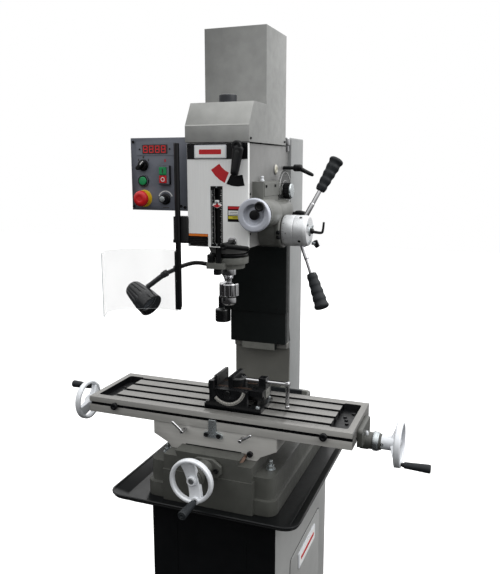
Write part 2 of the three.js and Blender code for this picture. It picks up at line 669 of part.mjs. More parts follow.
function gearLever() {
  const y = HEAD_FRONT - GAP;
  const [x, z] = [66, 1779];
  const boss = turned("y", [
    [0, y - 26], [12, y - 24], [14, y - 8], [14, y - 5], [9, y - 4.5], [9, y], [0, y],
  ], x, z, 14);
  const arm = slantedTurning([x - 2, y - 22, z - 2], [-0.13, -0.08, -0.98], [
    [0, 0], [11, 3], [11, 20], [9, 50], [10, 72], [7, 82], [0, 84],
  ], 12);
  return joined(boss, arm);
}

// ---------------------------------------------------------------- covers, guard and lamp
function wayCover(half, front, low, high) {
  const depth = 118;
  const plate = box(-half, half, front, front + 2.5, low, high);
  const wings = [-1, 1].map((side) => {
    const xs = [side * half, side * (half - 2)].sort((a, b) => a - b);
    return box(xs[0], xs[1], front, depth, low, high);
  });
  return joined(plate, ...wings);
}

function lowerWayCover() {
  return joined(wayCover(97, 97, 1142, 1335), box(-56, 60, 98, 121 - GAP, COLUMN_WAY_FOOT, 1143));
}

function controlBox() {
  const body = box(BOX.left, BOX.right, BOX.front, BOX.back, BOX.bottom, BOX.top);
  const bracket = box(BOX.right - 1, -HEAD_HALF - GAP, -200, -160, 1620, 1780);
  const bezel = rod("y", BOX.front - 6, BOX.front + 1, 16.8, START.x, START.z, 20);
  const stopCollar = rod("y", BOX.front - 8, BOX.front + 1, 15, ESTOP.x, ESTOP.z, 20);
  const switchBody = box(-188, -154, BOX.front - 12, BOX.front + 1, 1674, 1726);
  const holes = [
    rod("y", BOX.front - 10, BOX.front + 12, 12.6, START.x, START.z, 16),
    rod("y", BOX.front - 10, BOX.front + 24, 8.6, ESTOP.x, ESTOP.z, 12),
    box(-183.5, -161.5, BOX.front - 14, BOX.front + 2, 1700.5, 1722.5),
    box(-183.5, -161.5, BOX.front - 14, BOX.front + 2, 1677, 1699),
  ];
  return cut(joined(body, bracket, bezel, stopCollar, switchBody), ...holes);
}

const START = { x: -242, z: 1683 };
const ESTOP = { x: -241, z: 1632.7 };
const SELECTOR = { x: -241.5, z: 1728 };
const SPEED = { x: -172, z: 1632 };

function selectorKnob() {
  const y = BOX.front - GAP;
  const skirt = rod("y", y - 4, y, 16.5, SELECTOR.x, SELECTOR.z, 24);
  const drum = rod("y", y - 12, y - 3, 13, SELECTOR.x, SELECTOR.z, 20);
  const bar = prism("y", roundedRect(-17, 17, -5.5, 5.5, 5), y - 24, y - 4).rotate([0, -45, 0]);
  return joined(skirt, drum, bar.translate([SELECTOR.x, 0, SELECTOR.z]));
}

function estopButton() {
  const y = BOX.front;
  return turned("y", [
    [0, y - 32], [14, y - 31], [21, y - 27], [22.6, y - 22], [22.6, y - 17], [19, y - 15],
    [8, y - 15], [8, y + 4], [0, y + 4],
  ], ESTOP.x, ESTOP.z, 24);
}

function speedKnob() {
  const y = BOX.front - GAP;
  return turned("y", [
    [0, y - 24], [9, y - 24], [11, y - 20], [12, y - 6], [16, y - 4], [16, y], [0, y],
  ], SPEED.x, SPEED.z, 20);
}

function pushButton(centre, r, y0, y1) {
  return turned("y", [[0, y0], [r - 2, y0], [r, y0 + 2], [r, y1], [0, y1]], centre.x, centre.z, 20);
}

function switchCap(z0, z1) {
  const y = BOX.front - 12;
  return box(-183, -162, y - 2.5, y + 8, z0, z1);
}

function guardHolder() {
  const [back, front] = [-196, GUARD.y];
  const outline = roundedRect(-137, -HEAD_HALF - GAP, front, back, 10);
  const body = prism("z", outline, 1510, 1584);
  const lip = prism("z", roundedRect(-139, -HEAD_HALF - GAP, front - 2, back + 2, 11), 1510, 1518);
  const notch = box(GUARD.x - 8.5, GUARD.x + 8.5, front - 5, front + 8.5, 1500, 1590);
  return cut(joined(body, lip), notch);
}

function guardPost() {
  return rod("z", GUARD.bottom, GUARD.top, 8, GUARD.x, GUARD.y, 6);
}

// The curved clear guard: a sheet of even thickness that follows a smooth plan curve from its post.
function guardShield() {
  const plan = [
    [-133, -226], [-160, -219], [-204, -218], [-246, -231], [-290, -262], [-314, -290],
    [-316, -314], [-306, -336], [-291, -370],
  ];
  const curve = new THREE.SplineCurve(plan.map(([x, y]) => new THREE.Vector2(x, y)));
  const halfThick = 1.5;
  const steps = 22;
  const near = [];
  const far = [];
  for (let i = 0; i <= steps; i++) {
    const at = curve.getPointAt(i / steps);
    const t = curve.getTangentAt(i / steps);
    near.push([at.x - t.y * halfThick, at.y + t.x * halfThick]);
    far.unshift([at.x + t.y * halfThick, at.y - t.x * halfThick]);
  }
  const sheet = prism("z", [...near, ...far], 1307, 1488);
  const clamp = box(-136, -121, -231, -222, 1312, 1484);
  return joined(sheet, clamp);
}

const LAMP = { x: -126, y: 95, joint: [-252.8, -90, 1386.8] };

function lampStand() {
  const base = turned("z", [
    [0, 1206], [25, 1206], [25, 1247], [22, 1251], [14, 1252], [14, 1294], [9, 1300],
    [0, 1300],
  ], LAMP.x, LAMP.y, 20);
  const clip = box(LAMP.x + 10, -100 - GAP, 88, 100, 1252, 1298);
  const neck = bentBar([
    [LAMP.x, LAMP.y, 1292], [-116, 93, 1318], [-105, 82, 1348], [-107, 66, 1374], [-121, 45, 1396],
    [-145, 20, 1411],
    [-176, -15, 1419], [-206, -50, 1411], [-222, -66, 1402], [-243, -82, 1391.5],
  ], 7.5, 30);
  return joined(base, clip, neck);
}

function lampHead() {
  const link = slantedTurning([-247, -85, 1389.5], [-53, -23, -43.5], [
    [0, 0], [11, 0], [11, 4], [8, 5], [8, 72], [0, 72],
  ], 12);
  const shade = slantedTurning([-359, -108, 1346], [79.5, -21, -48.5], [
    [0, 0], [20, 1], [26, 6], [31, 30], [36, 60], [38.5, 72], [38.5, 104], [35.5, 104], [35.5, 72], [0, 70],
  ], 20);
  return joined(link, shade);
}

// ---------------------------------------------------------------- vise
const VISE_DISC = 45; // radius of the tilting body's trunnion discs
const VISE_FRONT = -236;
const VISE_BACK = -126.6;

// The foot and the two cheeks that hold the tilting body; only the front cheek is full height.
function viseBase() {
  const low = TABLE_TOP + GAP;
  const plate = box(-46, 131, VISE_FRONT, VISE_BACK, low, low + 12);
  const window = box(-34, 92, VISE_FRONT + 18, VISE_BACK - 14.5, low - 1, low + 20);
  const rim = rod("y", VISE_FRONT, VISE_FRONT + 14, 61, VISE.x, VISE.tiltZ, 32);
  const web = box(-30, 88, VISE_FRONT, VISE_FRONT + 14, low + 4, 1087);
  const rearWall = box(10, 88, VISE_BACK - 14, VISE_BACK, low + 4, 1060);
  const disc = rod("y", VISE_FRONT - 1, VISE_BACK + 1, VISE_DISC + GAP * 2, VISE.x, VISE.tiltZ, 32);
  const above = joined(box(-2, 130, -240, -110, 1087, 1170), box(-60, 0, -240, -110, 1110, 1170));
  return cut(joined(plate, rim, web, rearWall), window, disc, above);
}

function viseBody() {
  const disc = rod("y", VISE_FRONT + 2, VISE_BACK - 2, VISE_DISC, VISE.x, VISE.tiltZ, 32);
  const keep = box(-60, 120, -240, -110, 1040, 1087);
  const bed = box(-32, 129, -217, -142, 1070, 1087);
  const end = box(91, 129, -205, -142, 1055, 1087);
  const fixedJaw = joined(box(-24, -16, -212, -122, 1080, 1119), box(-32, -16, -212, -142, 1080, 1108));
  const nut = box(108, 130, -191, -165, 1086, 1118);
  const bore = rod("x", 100, 140, 6.4, VISE.y, VISE.screwZ, 16);
  return cut(joined(disc.intersect(keep), bed, end, fixedJaw, nut), bore);
}

function viseJaw() {
  const low = 1087 + GAP;
  const plate = box(21, 34, -212, -123, low, 1119);
  const back = turned("z", [[0, low], [30, low], [30, 1110], [25, 1115], [0, 1115]], 37, VISE.y, 20);
  const keep = box(30, 70, -240, -110, 1080, 1125);
  return cut(joined(plate, back.intersect(keep)), rod("x", 50, 80, 7.5, VISE.y, VISE.screwZ, 12));
}

function viseScrew() {
  const z = VISE.screwZ;
  const bar = rod("x", 51, 190, 6, VISE.y, z, 14);
  const handle = turned("z", [
    [0, z - 73], [5.5, z - 73], [6.5, z - 66], [6.5, z - 4], [8, z], [7, z + 7], [0, z + 8],
  ], 192, VISE.y, 14);
  return joined(bar, handle);
}

// ---------------------------------------------------------------- assembly
piece("cabinet_stand", cabinetStand(), sheetGrey);
piece("cabinet_door", cabinetDoor(), sheetGrey);
piece("chip_tray", chipTray(), trayBlack);
piece("machine_base", machineBase(), castGrey);
piece("y_screw_bracket", screwBracket(), castGrey);
piece("column", column(), sheetGrey);
piece("z_leadscrew", elevationScrew(), steel);
piece("elevation_crank", elevationCrank(), rubberGrey);
piece("lower_way_cover", lowerWayCover(), black);

const crossSlide = group();
piece("saddle", saddle(), castGrey, crossSlide);
saddleLock("saddle_lock_left", -88, 968.5, [-31, 31], crossSlide);
saddleLock("saddle_lock_right", 93, 967, [34, 24], crossSlide);

const tableGroup = group(machine, [TABLE_X, TABLE_Y, 0]);
piece("table", table(), machined, tableGroup);
const tableLine = group(tableGroup, [0, 0, TABLE_TOP]);
endBracket("right_end_bracket", 1, 35.5, tableLine);
endBracket("left_end_bracket", -1, 31, tableLine);
stopDog("stop_dog_left", -319, tableLine);
stopDog("stop_dog_right", 332, tableLine);

const screwLine = group(machine, [TABLE_X, TABLE_Y, X_SCREW_Z]);
piece("x_leadscrew", rod("x", -441.3, 446, SCREW_R, 0, 0, 16), steel, screwLine);
const rightHub = [
  [0, -71.7], [27, -71.7], [27, -55], [20, -54], [20, -33], [24, -32], [18, -8], [17, 6], [12, 11], [0, 11],
];
wheelSet(
  { wheel: "right_handwheel", grip: "right_wheel_grip" }, rightHub, [518, 0, 0],
  [0, Math.PI / 2, 0], 0.957, screwLine,
);
const leftHub = [[0, -57.9], [27, -57.9], [27, -41], [20, -40], [17, 6], [12, 11], [0, 11]];
wheelSet(
  { wheel: "left_handwheel", grip: "left_wheel_grip" }, leftHub, [-499.5, 0, 0],
  [0, -Math.PI / 2, 0], 2.575, screwLine,
);

piece("y_leadscrew", rod("y", -395, 110, SCREW_R, 0, Y_SCREW_Z, 16), steel);
const frontHub = [[0, -29.5], [26, -29.5], [26, -14], [20, -13], [17, 6], [12, 11], [0, 11]];
wheelSet(
  { wheel: "front_handwheel", grip: "front_wheel_grip" }, frontHub, [0, -425, Y_SCREW_Z],
  [Math.PI / 2, 0, 0], 0.26, machine,
);

const head = group();
piece("head_casting", headCasting(), castGrey, head);
piece("motor_hood", motorHood(), sheetGrey, head);
piece("motor", motor(), black, head);
piece("motor_pinion", motorPinion(), steel, head);
piece("drive_gear", driveGear(), steel, head);
piece("upper_way_cover", wayCover(100, 92, 1249, 1519), black, head);
piece("quill", quill(), steel, head);
piece("depth_stop_clamp", depthStopClamp(), castGrey, head);
piece("spindle", spindle(), steel, head);
piece("drill_chuck", drillChuck(), chrome, head);
piece("capstan_hub", capstanHub(), wheelGrey, head);
feedHandle("capstan_handle_upper", 68.3, head);
feedHandle("capstan_handle_lower", 254, head);
piece("engage_lever", engageLever(), black, head);
piece("fine_feed_wheel", fineFeedWheel(), wheelGrey, head);
piece("feed_dial_knob", feedDialKnob(), black, head);
piece("head_lock_lever", headLockLever(), black, head);
piece("quill_lock_lever", quillLockLever(), black, head);
piece("gear_lever", gearLever(), black, head);

const controls = group(head);
piece("control_box", controlBox(), boxBlue, controls);
piece("selector_knob", selectorKnob(), black, controls);
piece("start_button", pushButton(START, 12, BOX.front - 9, BOX.front + 6), green, controls);
piece("estop_button", estopButton(), red, controls);
piece("speed_knob", speedKnob(), black, controls);
piece("switch_on", switchCap(1701, 1722), green, controls);
piece("switch_off", switchCap(1677.5, 1698.5), red, controls);

const guard = group(head);
piece("guard_holder", guardHolder(), black, guard);
piece("guard_post", guardPost(), black, guard);
piece("guard_shield", guardShield(), clear, guard);

const lamp = group(head);
piece("lamp_stand", lampStand(), black, lamp);
piece("lamp_head", lampHead(), black, lamp);

const vise = group();
piece("vise_base", viseBase(), black, vise);
piece("vise_body", viseBody(), black, vise);
piece("vise_jaw", viseJaw(), black, vise);
piece("vise_screw", viseScrew(), chrome, vise);

export default machine;
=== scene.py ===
import bpy
import bmesh
import json
import math
from mathutils import Matrix, Vector

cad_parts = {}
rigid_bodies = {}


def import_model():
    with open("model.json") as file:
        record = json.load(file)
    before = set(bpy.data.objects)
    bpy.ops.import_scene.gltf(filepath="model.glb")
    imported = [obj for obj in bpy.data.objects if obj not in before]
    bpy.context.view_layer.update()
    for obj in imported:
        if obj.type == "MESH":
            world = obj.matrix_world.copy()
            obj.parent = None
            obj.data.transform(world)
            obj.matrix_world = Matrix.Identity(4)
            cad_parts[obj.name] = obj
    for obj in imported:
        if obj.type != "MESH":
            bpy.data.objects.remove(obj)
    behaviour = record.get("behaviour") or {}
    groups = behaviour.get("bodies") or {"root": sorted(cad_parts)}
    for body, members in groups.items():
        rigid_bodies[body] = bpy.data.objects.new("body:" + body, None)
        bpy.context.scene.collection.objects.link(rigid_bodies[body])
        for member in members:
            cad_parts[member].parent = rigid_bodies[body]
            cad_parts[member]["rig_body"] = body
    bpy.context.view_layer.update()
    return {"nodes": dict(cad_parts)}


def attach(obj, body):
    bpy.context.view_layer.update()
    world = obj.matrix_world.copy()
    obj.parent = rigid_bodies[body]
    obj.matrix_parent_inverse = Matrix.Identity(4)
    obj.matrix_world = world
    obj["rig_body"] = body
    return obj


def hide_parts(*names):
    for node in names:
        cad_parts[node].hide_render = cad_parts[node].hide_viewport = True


# Looks of a bench mill on a cabinet stand. Positions below are in millimetres in the part's own frame.
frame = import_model()
MM = 0.001
SPINDLE = (0.0, -151.0)
CAPSTAN = (-100.0, 1543.0)
SIDES = (("left", -1), ("right", 1))
FINE_FEED = (123.5, 1597)  # axis of the fine feed wheel, x and z
FEED_DIAL = (0, 1652)  # axis of the feed selector, y and z
SELECTOR, START, ESTOP, SPEED = (-241.5, 1728), (-242, 1683), (-241, 1632.7), (-172, 1632)  # on the box


# ---------------------------------------------------------------- materials
def linear(r, g, b):
    """An sRGB colour of 0 to 255 as the linear RGBA a shader takes."""
    def channel(c):
        c = c / 255
        return c / 12.92 if c < 0.04045 else ((c + 0.055) / 1.055) ** 2.4
    return (channel(r), channel(g), channel(b), 1.0)


def node(tree, kind, inputs, **properties):
    """A new shader node. An input is either a value or the output of another node."""
    made = tree.nodes.new("ShaderNode" + kind)
    for key, value in properties.items():
        setattr(made, key, value)
    fill(tree, made, inputs)
    return made


def fill(tree, made, inputs):
    for key, value in inputs.items():
        if isinstance(value, bpy.types.NodeSocket):
            tree.links.new(value, made.inputs[key])
        else:
            made.inputs[key].default_value = value


def noise(tree, scale, stretch, detail):
    """Noise in the piece's own coordinates, drawn out along the axes by stretch."""
    coords = node(tree, "TexCoord", {}).outputs["Object"]
    mapping = node(tree, "Mapping", {"Scale": [scale / s for s in stretch], "Vector": coords})
    texture = node(tree, "TexNoise", {"Scale": 1.0, "Detail": detail, "Vector": mapping.outputs["Vector"]})
    return texture.outputs["Fac"]


def ranged(tree, value, low, high):
    """Stretches the middle of a noise over the span from low to high."""
    span = {"From Min": 0.3, "From Max": 0.7, "To Min": low, "To Max": high, "Value": value}
    return node(tree, "MapRange", span).outputs["Result"]


def shader_of(name):
    made = bpy.data.materials.new(name)
    made.use_nodes = True
    return made, made.node_tree, made.node_tree.nodes["Principled BSDF"]


def material(name, rgb, rough, metal=0.0, wander=(0.08, 30), rough_vary=0.06, stretch=(1, 1, 1),
             relief=(0.0, 600, 0.4), relief_stretch=(1, 1, 1), coat=0.0, specular=0.5, patch=0.0,
             emission=0.0):
    """A procedural surface whose colour and roughness wander with noise, with a finer noise as relief.

    wander is how far the colour wanders and the scale of that noise; patch is a much broader, fainter
    wandering; relief is its strength, the scale of its noise and its depth in millimetres.
    """
    vary, scale = wander
    strength, fine, depth = relief
    made, tree, shader = shader_of(name)
    colour = linear(*rgb)
    darker = [c * (1 - vary) for c in colour[:3]] + [1]
    lighter = [min(1, c * (1 + vary)) for c in colour[:3]] + [1]
    blend = {"A": darker, "B": lighter, "Factor": ranged(tree, noise(tree, scale, stretch, 4), 0, 1)}
    result = node(tree, "Mix", blend, data_type="RGBA").outputs["Result"]
    if patch:
        level = ranged(tree, noise(tree, 6, (1, 1, 1), 2), 1 - patch, 1 + patch * 0.4)
        tone = node(tree, "CombineColor", {"Red": level, "Green": level, "Blue": level}).outputs["Color"]
        blend = {"Factor": 1.0, "A": result, "B": tone}
        result = node(tree, "Mix", blend, data_type="RGBA", blend_type="MULTIPLY").outputs["Result"]
    gloss = noise(tree, scale * 2.3, stretch, 3)
    fill(tree, shader, {
        "Base Color": result,
        "Roughness": ranged(tree, gloss, max(0.02, rough - rough_vary), min(1, rough + rough_vary)),
        "Metallic": metal, "Specular IOR Level": specular, "Coat Weight": coat, "Coat Roughness": 0.15})
    if emission:
        fill(tree, shader, {"Emission Color": colour, "Emission Strength": emission})
    if strength:
        height = noise(tree, fine, relief_stretch, 3)
        bump = node(tree, "Bump", {"Strength": strength, "Distance": depth * MM, "Height": height})
        fill(tree, shader, {"Normal": bump.outputs["Normal"]})
    return made


def clear_sheet(name):
    """Thin clear plastic: mostly see-through, with a clean gloss."""
    made, tree, shader = shader_of(name)
    smear = noise(tree, 9, (1, 1, 3), 3)
    fill(tree, shader, {
        "Base Color": linear(66, 69, 72), "IOR": 1.45,
        "Roughness": ranged(tree, smear, 0.04, 0.12), "Alpha": ranged(tree, smear, 0.2, 0.25)})
    return made


# what several materials share
PRINT = dict(wander=(0.05, 60), relief=(0.05, 700, 0.1))
MOULDED = dict(wander=(0.06, 80), relief=(0.15, 900, 0.1))

STAND = material("stand_paint", (164, 165, 164), 0.42, wander=(0.03, 8), relief=(0.25, 900, 0.2),
    patch=0.06)
HOOD = material("hood_paint", (148, 149, 147), 0.42, wander=(0.08, 34), relief=(0.25, 500, 0.4), patch=0.14)
COLUMN = material("column_paint", (156, 158, 158), 0.45, wander=(0.04, 14), relief=(0.3, 700, 0.3),
    patch=0.06)
CAST = material("cast_paint", (76, 77, 73), 0.42, wander=(0.09, 22), relief=(0.55, 260, 0.6), coat=0.1,
    patch=0.12)
MACHINED = material("machined_iron", (134, 133, 130), 0.34, metal=0.5, wander=(0.07, 160),
    stretch=(18, 1, 1), relief=(0.3, 1400, 0.2), relief_stretch=(30, 1, 1), patch=0.06)
MACHINED_Y = material("machined_iron_cross", (134, 133, 130), 0.36, metal=0.5, wander=(0.06, 160),
    stretch=(1, 18, 1), relief=(0.3, 1400, 0.2), relief_stretch=(1, 30, 1))
SADDLE = material("saddle_iron", (190, 189, 185), 0.38, metal=0.15, wander=(0.06, 120), stretch=(14, 1, 1),
    relief=(0.35, 900, 0.2), relief_stretch=(20, 1, 1), patch=0.12)
# Near-black for the insides of the T-slots, the front groove and the end pockets: painted shade in those
# recesses.
SLOT_SHADE = material("slot_shadow", (14, 15, 17), 0.35, metal=0.3, wander=(0.2, 80), stretch=(12, 1, 1),
    relief=(0.3, 500, 0.4), specular=0.3)
STEEL = material("turned_steel", (176, 176, 176), 0.25, metal=1.0, wander=(0.07, 300), stretch=(1, 1, 0.2),
    relief=(0.06, 2200, 0.1))
CHROME = material("chrome", (190, 190, 192), 0.14, metal=1.0, wander=(0.03, 90), rough_vary=0.05)
CHROME_DARK = material("chrome_shadow_band", (92, 90, 84), 0.3, metal=1.0, wander=(0.1, 200),
    relief=(0.1, 600, 0.4))
ZINC = material("zinc_plate", (190, 196, 198), 0.28, metal=0.9, wander=(0.03, 60), relief=(0.04, 800, 0.2))
ALLOY = material("satin_alloy", (226, 229, 233), 0.36, metal=0.2, wander=(0.04, 120),
    relief=(0.1, 1500, 0.1))
HUB = material("capstan_alloy", (226, 228, 230), 0.3, metal=0.4, wander=(0.03, 200), stretch=(0.2, 1, 1),
    relief=(0.06, 1800, 0.1))
FEED = material("feed_wheel_paint", (196, 200, 210), 0.36, metal=0.2, wander=(0.04, 60),
    relief=(0.15, 900, 0.1))
BLACK = material("black_paint", (14, 15, 17), 0.36, wander=(0.15, 40), relief=(0.2, 700, 0.3), specular=0.3)
PANEL_BLACK = material("stand_front_black", (14, 15, 17), 0.42, wander=(0.1, 12), relief=(0.35, 800, 0.3),
    specular=0.25, patch=0.1)
TRAY = material("tray_enamel", (8, 10, 12), 0.36, wander=(0.08, 14), rough_vary=0.05,
    relief=(0.15, 160, 0.4), coat=0.12, specular=0.3)
VISE = material("vise_enamel", (12, 13, 15), 0.3, wander=(0.12, 40), relief=(0.5, 320, 0.5), coat=0.2,
    specular=0.35)
RUBBER = material("grip_plastic", (34, 37, 40), 0.5, wander=(0.1, 70), relief=(0.4, 1200, 0.2),
    specular=0.25)
COVER = material("way_cover_black", (14, 19, 19), 0.5, wander=(0.12, 30), relief=(0.3, 900, 0.2),
    specular=0.25)
PLASTIC = material("black_plastic", (14, 15, 17), 0.35, wander=(0.12, 60), relief=(0.2, 1100, 0.2),
    specular=0.35)
BOX = material("control_box_paint", (112, 116, 126), 0.42, wander=(0.05, 40), relief=(0.5, 1100, 0.2))
RED = material("red_plastic", (205, 28, 34), 0.32, **MOULDED)
YELLOW = material("yellow_plastic", (226, 190, 40), 0.4, **MOULDED)
GREEN = material("green_plastic", (30, 150, 88), 0.32, **MOULDED)
BRONZE = material("bronze", (84, 66, 56), 0.4, metal=0.7, wander=(0.1, 120), relief=(0.2, 600, 0.4))
FACEPLATE = material("brushed_faceplate", (247, 248, 247), 0.38, wander=(0.03, 500), stretch=(1, 1, 40),
    relief=(0.18, 2600, 0.1), relief_stretch=(1, 1, 60))
WHITE = material("white_print", (232, 233, 232), 0.45, wander=(0.02, 60), relief=(0.05, 700, 0.1))
# Black for print, and also for painted shade: dark strips and discs where slots, gaps and holes are in shade.
INK_AND_SHADE = material("black_print_and_shade", (10, 11, 13), 0.4, wander=(0.1, 60), relief=(0.05, 700, 0.1), specular=0.2)
RED_INK = material("red_print", (196, 30, 38), 0.4, **PRINT)
ORANGE = material("orange_print", (224, 120, 36), 0.45, **PRINT)
LIME = material("yellow_print", (214, 200, 60), 0.45, **PRINT)
GLASS = material("sight_glass", (206, 202, 184), 0.2, wander=(0.1, 50), relief=(0.05, 600, 0.4), coat=1.0)
LED = material("display_digit", (190, 40, 44), 0.4, wander=(0.05, 60), relief=(0.05, 600, 0.4),
    emission=0.35)
DISPLAY = material("display_window", (44, 20, 24), 0.12, wander=(0.1, 60), relief=(0.03, 600, 0.4),
    coat=0.8)
LENS = material("lamp_lens", (86, 92, 100), 0.14, wander=(0.1, 160), relief=(0.4, 300, 0.4), coat=0.6)
GEARCASE = material("gear_case_paint", (106, 107, 103), 0.4, wander=(0.05, 16), relief=(0.3, 600, 0.3),
    patch=0.1)
HEADCAST = material("head_paint", (132, 132, 131), 0.4, wander=(0.04, 16), relief=(0.3, 600, 0.3),
    patch=0.08)
CLAMP = material("clamp_casting", (124, 125, 120), 0.4, metal=0.2, wander=(0.08, 60),
    relief=(0.4, 500, 0.4))
CAP = material("drawbar_cap_plastic", (56, 58, 62), 0.4, wander=(0.08, 60), relief=(0.2, 900, 0.2),
    specular=0.3)
DIAL = material("dial_plate_shade", (44, 45, 44), 0.3, metal=0.3, wander=(0.1, 60), relief=(0.2, 900, 0.2))
BOXLABEL = material("box_label", (118, 122, 132), 0.35, wander=(0.05, 40), relief=(0.1, 900, 0.1))
LAMP = material("lamp_plastic", (12, 14, 16), 0.22, wander=(0.1, 60), relief=(0.15, 700, 0.2), coat=0.6,
    specular=0.4)
SCALE = material("degree_scale", (196, 194, 188), 0.4, metal=0.3, wander=(0.06, 90), relief=(0.2, 900, 0.1))
JAW = material("jaw_plate_steel", (84, 84, 84), 0.35, metal=0.8, wander=(0.1, 90), relief=(0.3, 900, 0.2))
# A lighter copy of the hood paint for the hood's front slope: painted highlight where the light from above
# falls.
HOOD_SLOPE_HIGHLIGHT = material("hood_slope_painted_highlight", (170, 171, 168), 0.42, wander=(0.09, 26), relief=(0.25, 500, 0.4),
    patch=0.14)
HOOD_FOLD = material("hood_fold_highlight", (186, 187, 184), 0.35, wander=(0.04, 60),
    relief=(0.1, 700, 0.1))
# A darker copy of the column paint for the column front below the way cover: painted shade under the cover.
COLUMN_FRONT_SHADE = material("column_front_painted_shade", (112, 112, 107), 0.42, wander=(0.06, 18), relief=(0.3, 600, 0.3),
    patch=0.12)
# A lighter, less metallic copy of the machined iron for the table's front faces: painted sheen.
TABLE_FRONT_SHEEN = material("table_front_painted_sheen", (176, 175, 171), 0.36, metal=0.2, wander=(0.06, 160),
    stretch=(18, 1, 1), relief=(0.3, 1400, 0.2), relief_stretch=(30, 1, 1), patch=0.08)
FLOOR = material("studio_floor", (250, 250, 250), 0.8, wander=(0.002, 2), relief=(0.02, 60, 0.2),
    emission=0.15)
GUARD = clear_sheet("clear_guard")
GUARD_EDGE = material("guard_edge", (206, 212, 214), 0.25, wander=(0.05, 60), relief=(0.05, 600, 0.4))


# ---------------------------------------------------------------- meshes
def place(axis, u, v, along):
    """A point given in the two other axes and along the named one, in metres."""
    if axis == "x":
        return Vector((along, u, v)) * MM
    if axis == "y":
        return Vector((u, along, v)) * MM
    return Vector((u, v, along)) * MM


def rod(radius, low, high):
    """The profile of a plain cylinder."""
    return [[radius, low], [radius, high]]


def rim(inner, outer, low, high):
    """The closed profile of a plain ring."""
    return [[inner, low], [outer, low], [outer, high], [inner, high], [inner, low]]


def rect(u0, u1, v0, v1):
    return [(u0, v0), (u1, v0), (u1, v1), (u0, v1)]


def around(centre, radius, angle):
    """The point at an angle on a circle."""
    return centre[0] + radius * math.cos(angle), centre[1] + radius * math.sin(angle)


def toothed(centre, tips, roots, count):
    """The outline of a disc with fine teeth round its edge, four points to a tooth."""
    steps = 4 * count
    return [around(centre, tips if i % 4 < 2 else roots, math.tau * i / steps) for i in range(steps)]


def aimed(spot, aim):
    """Puts the origin at a spot in millimetres and turns the local Z axis along aim."""
    turn = Vector((0, 0, 1)).rotation_difference(Vector(aim)).to_matrix().to_4x4()
    return Matrix.Translation(Vector(spot) * MM) @ turn


def rounded(points, radius, steps=3, closed=True):
    """An outline with its corners turned into short curves. A point may carry its own radius."""
    result = []
    n = len(points)
    for i, p in enumerate(points):
        here = Vector(p[:2])
        r = p[2] if len(p) > 2 else radius
        if r == 0 or (not closed and i in (0, n - 1)):
            result.append(here)
            continue
        before = Vector(points[i - 1][:2]) - here
        after = Vector(points[(i + 1) % n][:2]) - here
        if before.length < 1e-6 or after.length < 1e-6:
            result.append(here)
            continue
        start = here + before.normalized() * min(r, before.length * 0.48)
        end = here + after.normalized() * min(r, after.length * 0.48)
        for k in range(steps + 1):
            t = k / steps
            result.append(start * (1 - t) ** 2 + here * 2 * t * (1 - t) + end * t ** 2)
    return [(p.x, p.y) for p in result]


def sharpen(bm, degrees):
    for f in bm.faces:
        f.smooth = True
    limit = math.radians(degrees)
    for e in bm.edges:
        e.smooth = not (len(e.link_faces) == 2 and e.calc_face_angle(0) > limit)


def solid_object(name, bm, mat, body, sharp=38):
    """Finishes a bmesh into a piece that rides on a body."""
    bmesh.ops.remove_doubles(bm, verts=bm.verts, dist=1e-7)
    bmesh.ops.recalc_face_normals(bm, faces=bm.faces)
    sharpen(bm, sharp)
    mesh = bpy.data.meshes.new(name)
    bm.to_mesh(mesh)
    bm.free()
    mesh.materials.append(mat)
    o = bpy.data.objects.new(name, mesh)
    bpy.context.scene.collection.objects.link(o)
    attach(o, body)
    return o


def bevel(o, width, segments=3, angle=35):
    b = o.modifiers.new("bevel", "BEVEL")
    b.width = width * MM
    b.segments = segments
    b.limit_method = "ANGLE"
    b.angle_limit = math.radians(angle)
    b.harden_normals = True
    for e in o.data.edges:
        e.use_edge_sharp = False
    return o


def lathe_into(bm, axis, profile, u=0.0, v=0.0, sides=64, frame_matrix=None):
    """Adds a solid of revolution from [radius, place along the axis] points to a bmesh."""
    rings = []
    for r, along in profile:
        if r < 1e-6:
            rings.append([bm.verts.new(place(axis, u, v, along))])
            continue
        ring = []
        for i in range(sides):
            a = math.tau * i / sides
            ring.append(bm.verts.new(place(axis, u + r * math.cos(a), v + r * math.sin(a), along)))
        rings.append(ring)
    made = [x for ring in rings for x in ring]
    if profile[0] == profile[-1]:
        rings[-1] = rings[0]
    for a, b in zip(rings, rings[1:]):
        for i in range(sides):
            j = (i + 1) % sides
            quad = [a[i % len(a)], a[j % len(a)], b[j % len(b)], b[i % len(b)]]
            corners = list(dict.fromkeys(quad))
            if len(corners) > 2:
                bm.faces.new(corners)
    if frame_matrix is not None:
        bmesh.ops.transform(bm, matrix=frame_matrix, verts=[x for x in made if x.is_valid])
    return bm


def to_axis(profile):
    """Closes a profile flat to the axis at each end, where it isn't a ring and isn't there yet."""
    if tuple(profile[0]) == tuple(profile[-1]):
        return profile
    first, last = profile[0], profile[-1]
    return ([[0, first[1]]] if first[0] else []) + profile + ([[0, last[1]]] if last[0] else [])


def lathe(name, axis, profile, mat, body, u=0.0, v=0.0, corner=0.8, sides=64, steps=3):
    closed = tuple(profile[0]) == tuple(profile[-1])
    if closed:
        points = rounded(profile[:-1], corner, steps)
        points.append(points[0])
    else:
        points = rounded(to_axis(profile), corner, steps, closed=False)
    return solid_object(name, lathe_into(bmesh.new(), axis, points, u, v, sides), mat, body)


def slanted(name, start, direction, profile, mat, body, corner=0.6, sides=32):
    """A solid of revolution about a line: profile is [radius, distance from the start]."""
    points = rounded(to_axis(profile), corner, closed=False)
    turned = lathe_into(bmesh.new(), "z", points, 0, 0, sides, aimed(start, direction))
    return solid_object(name, turned, mat, body)


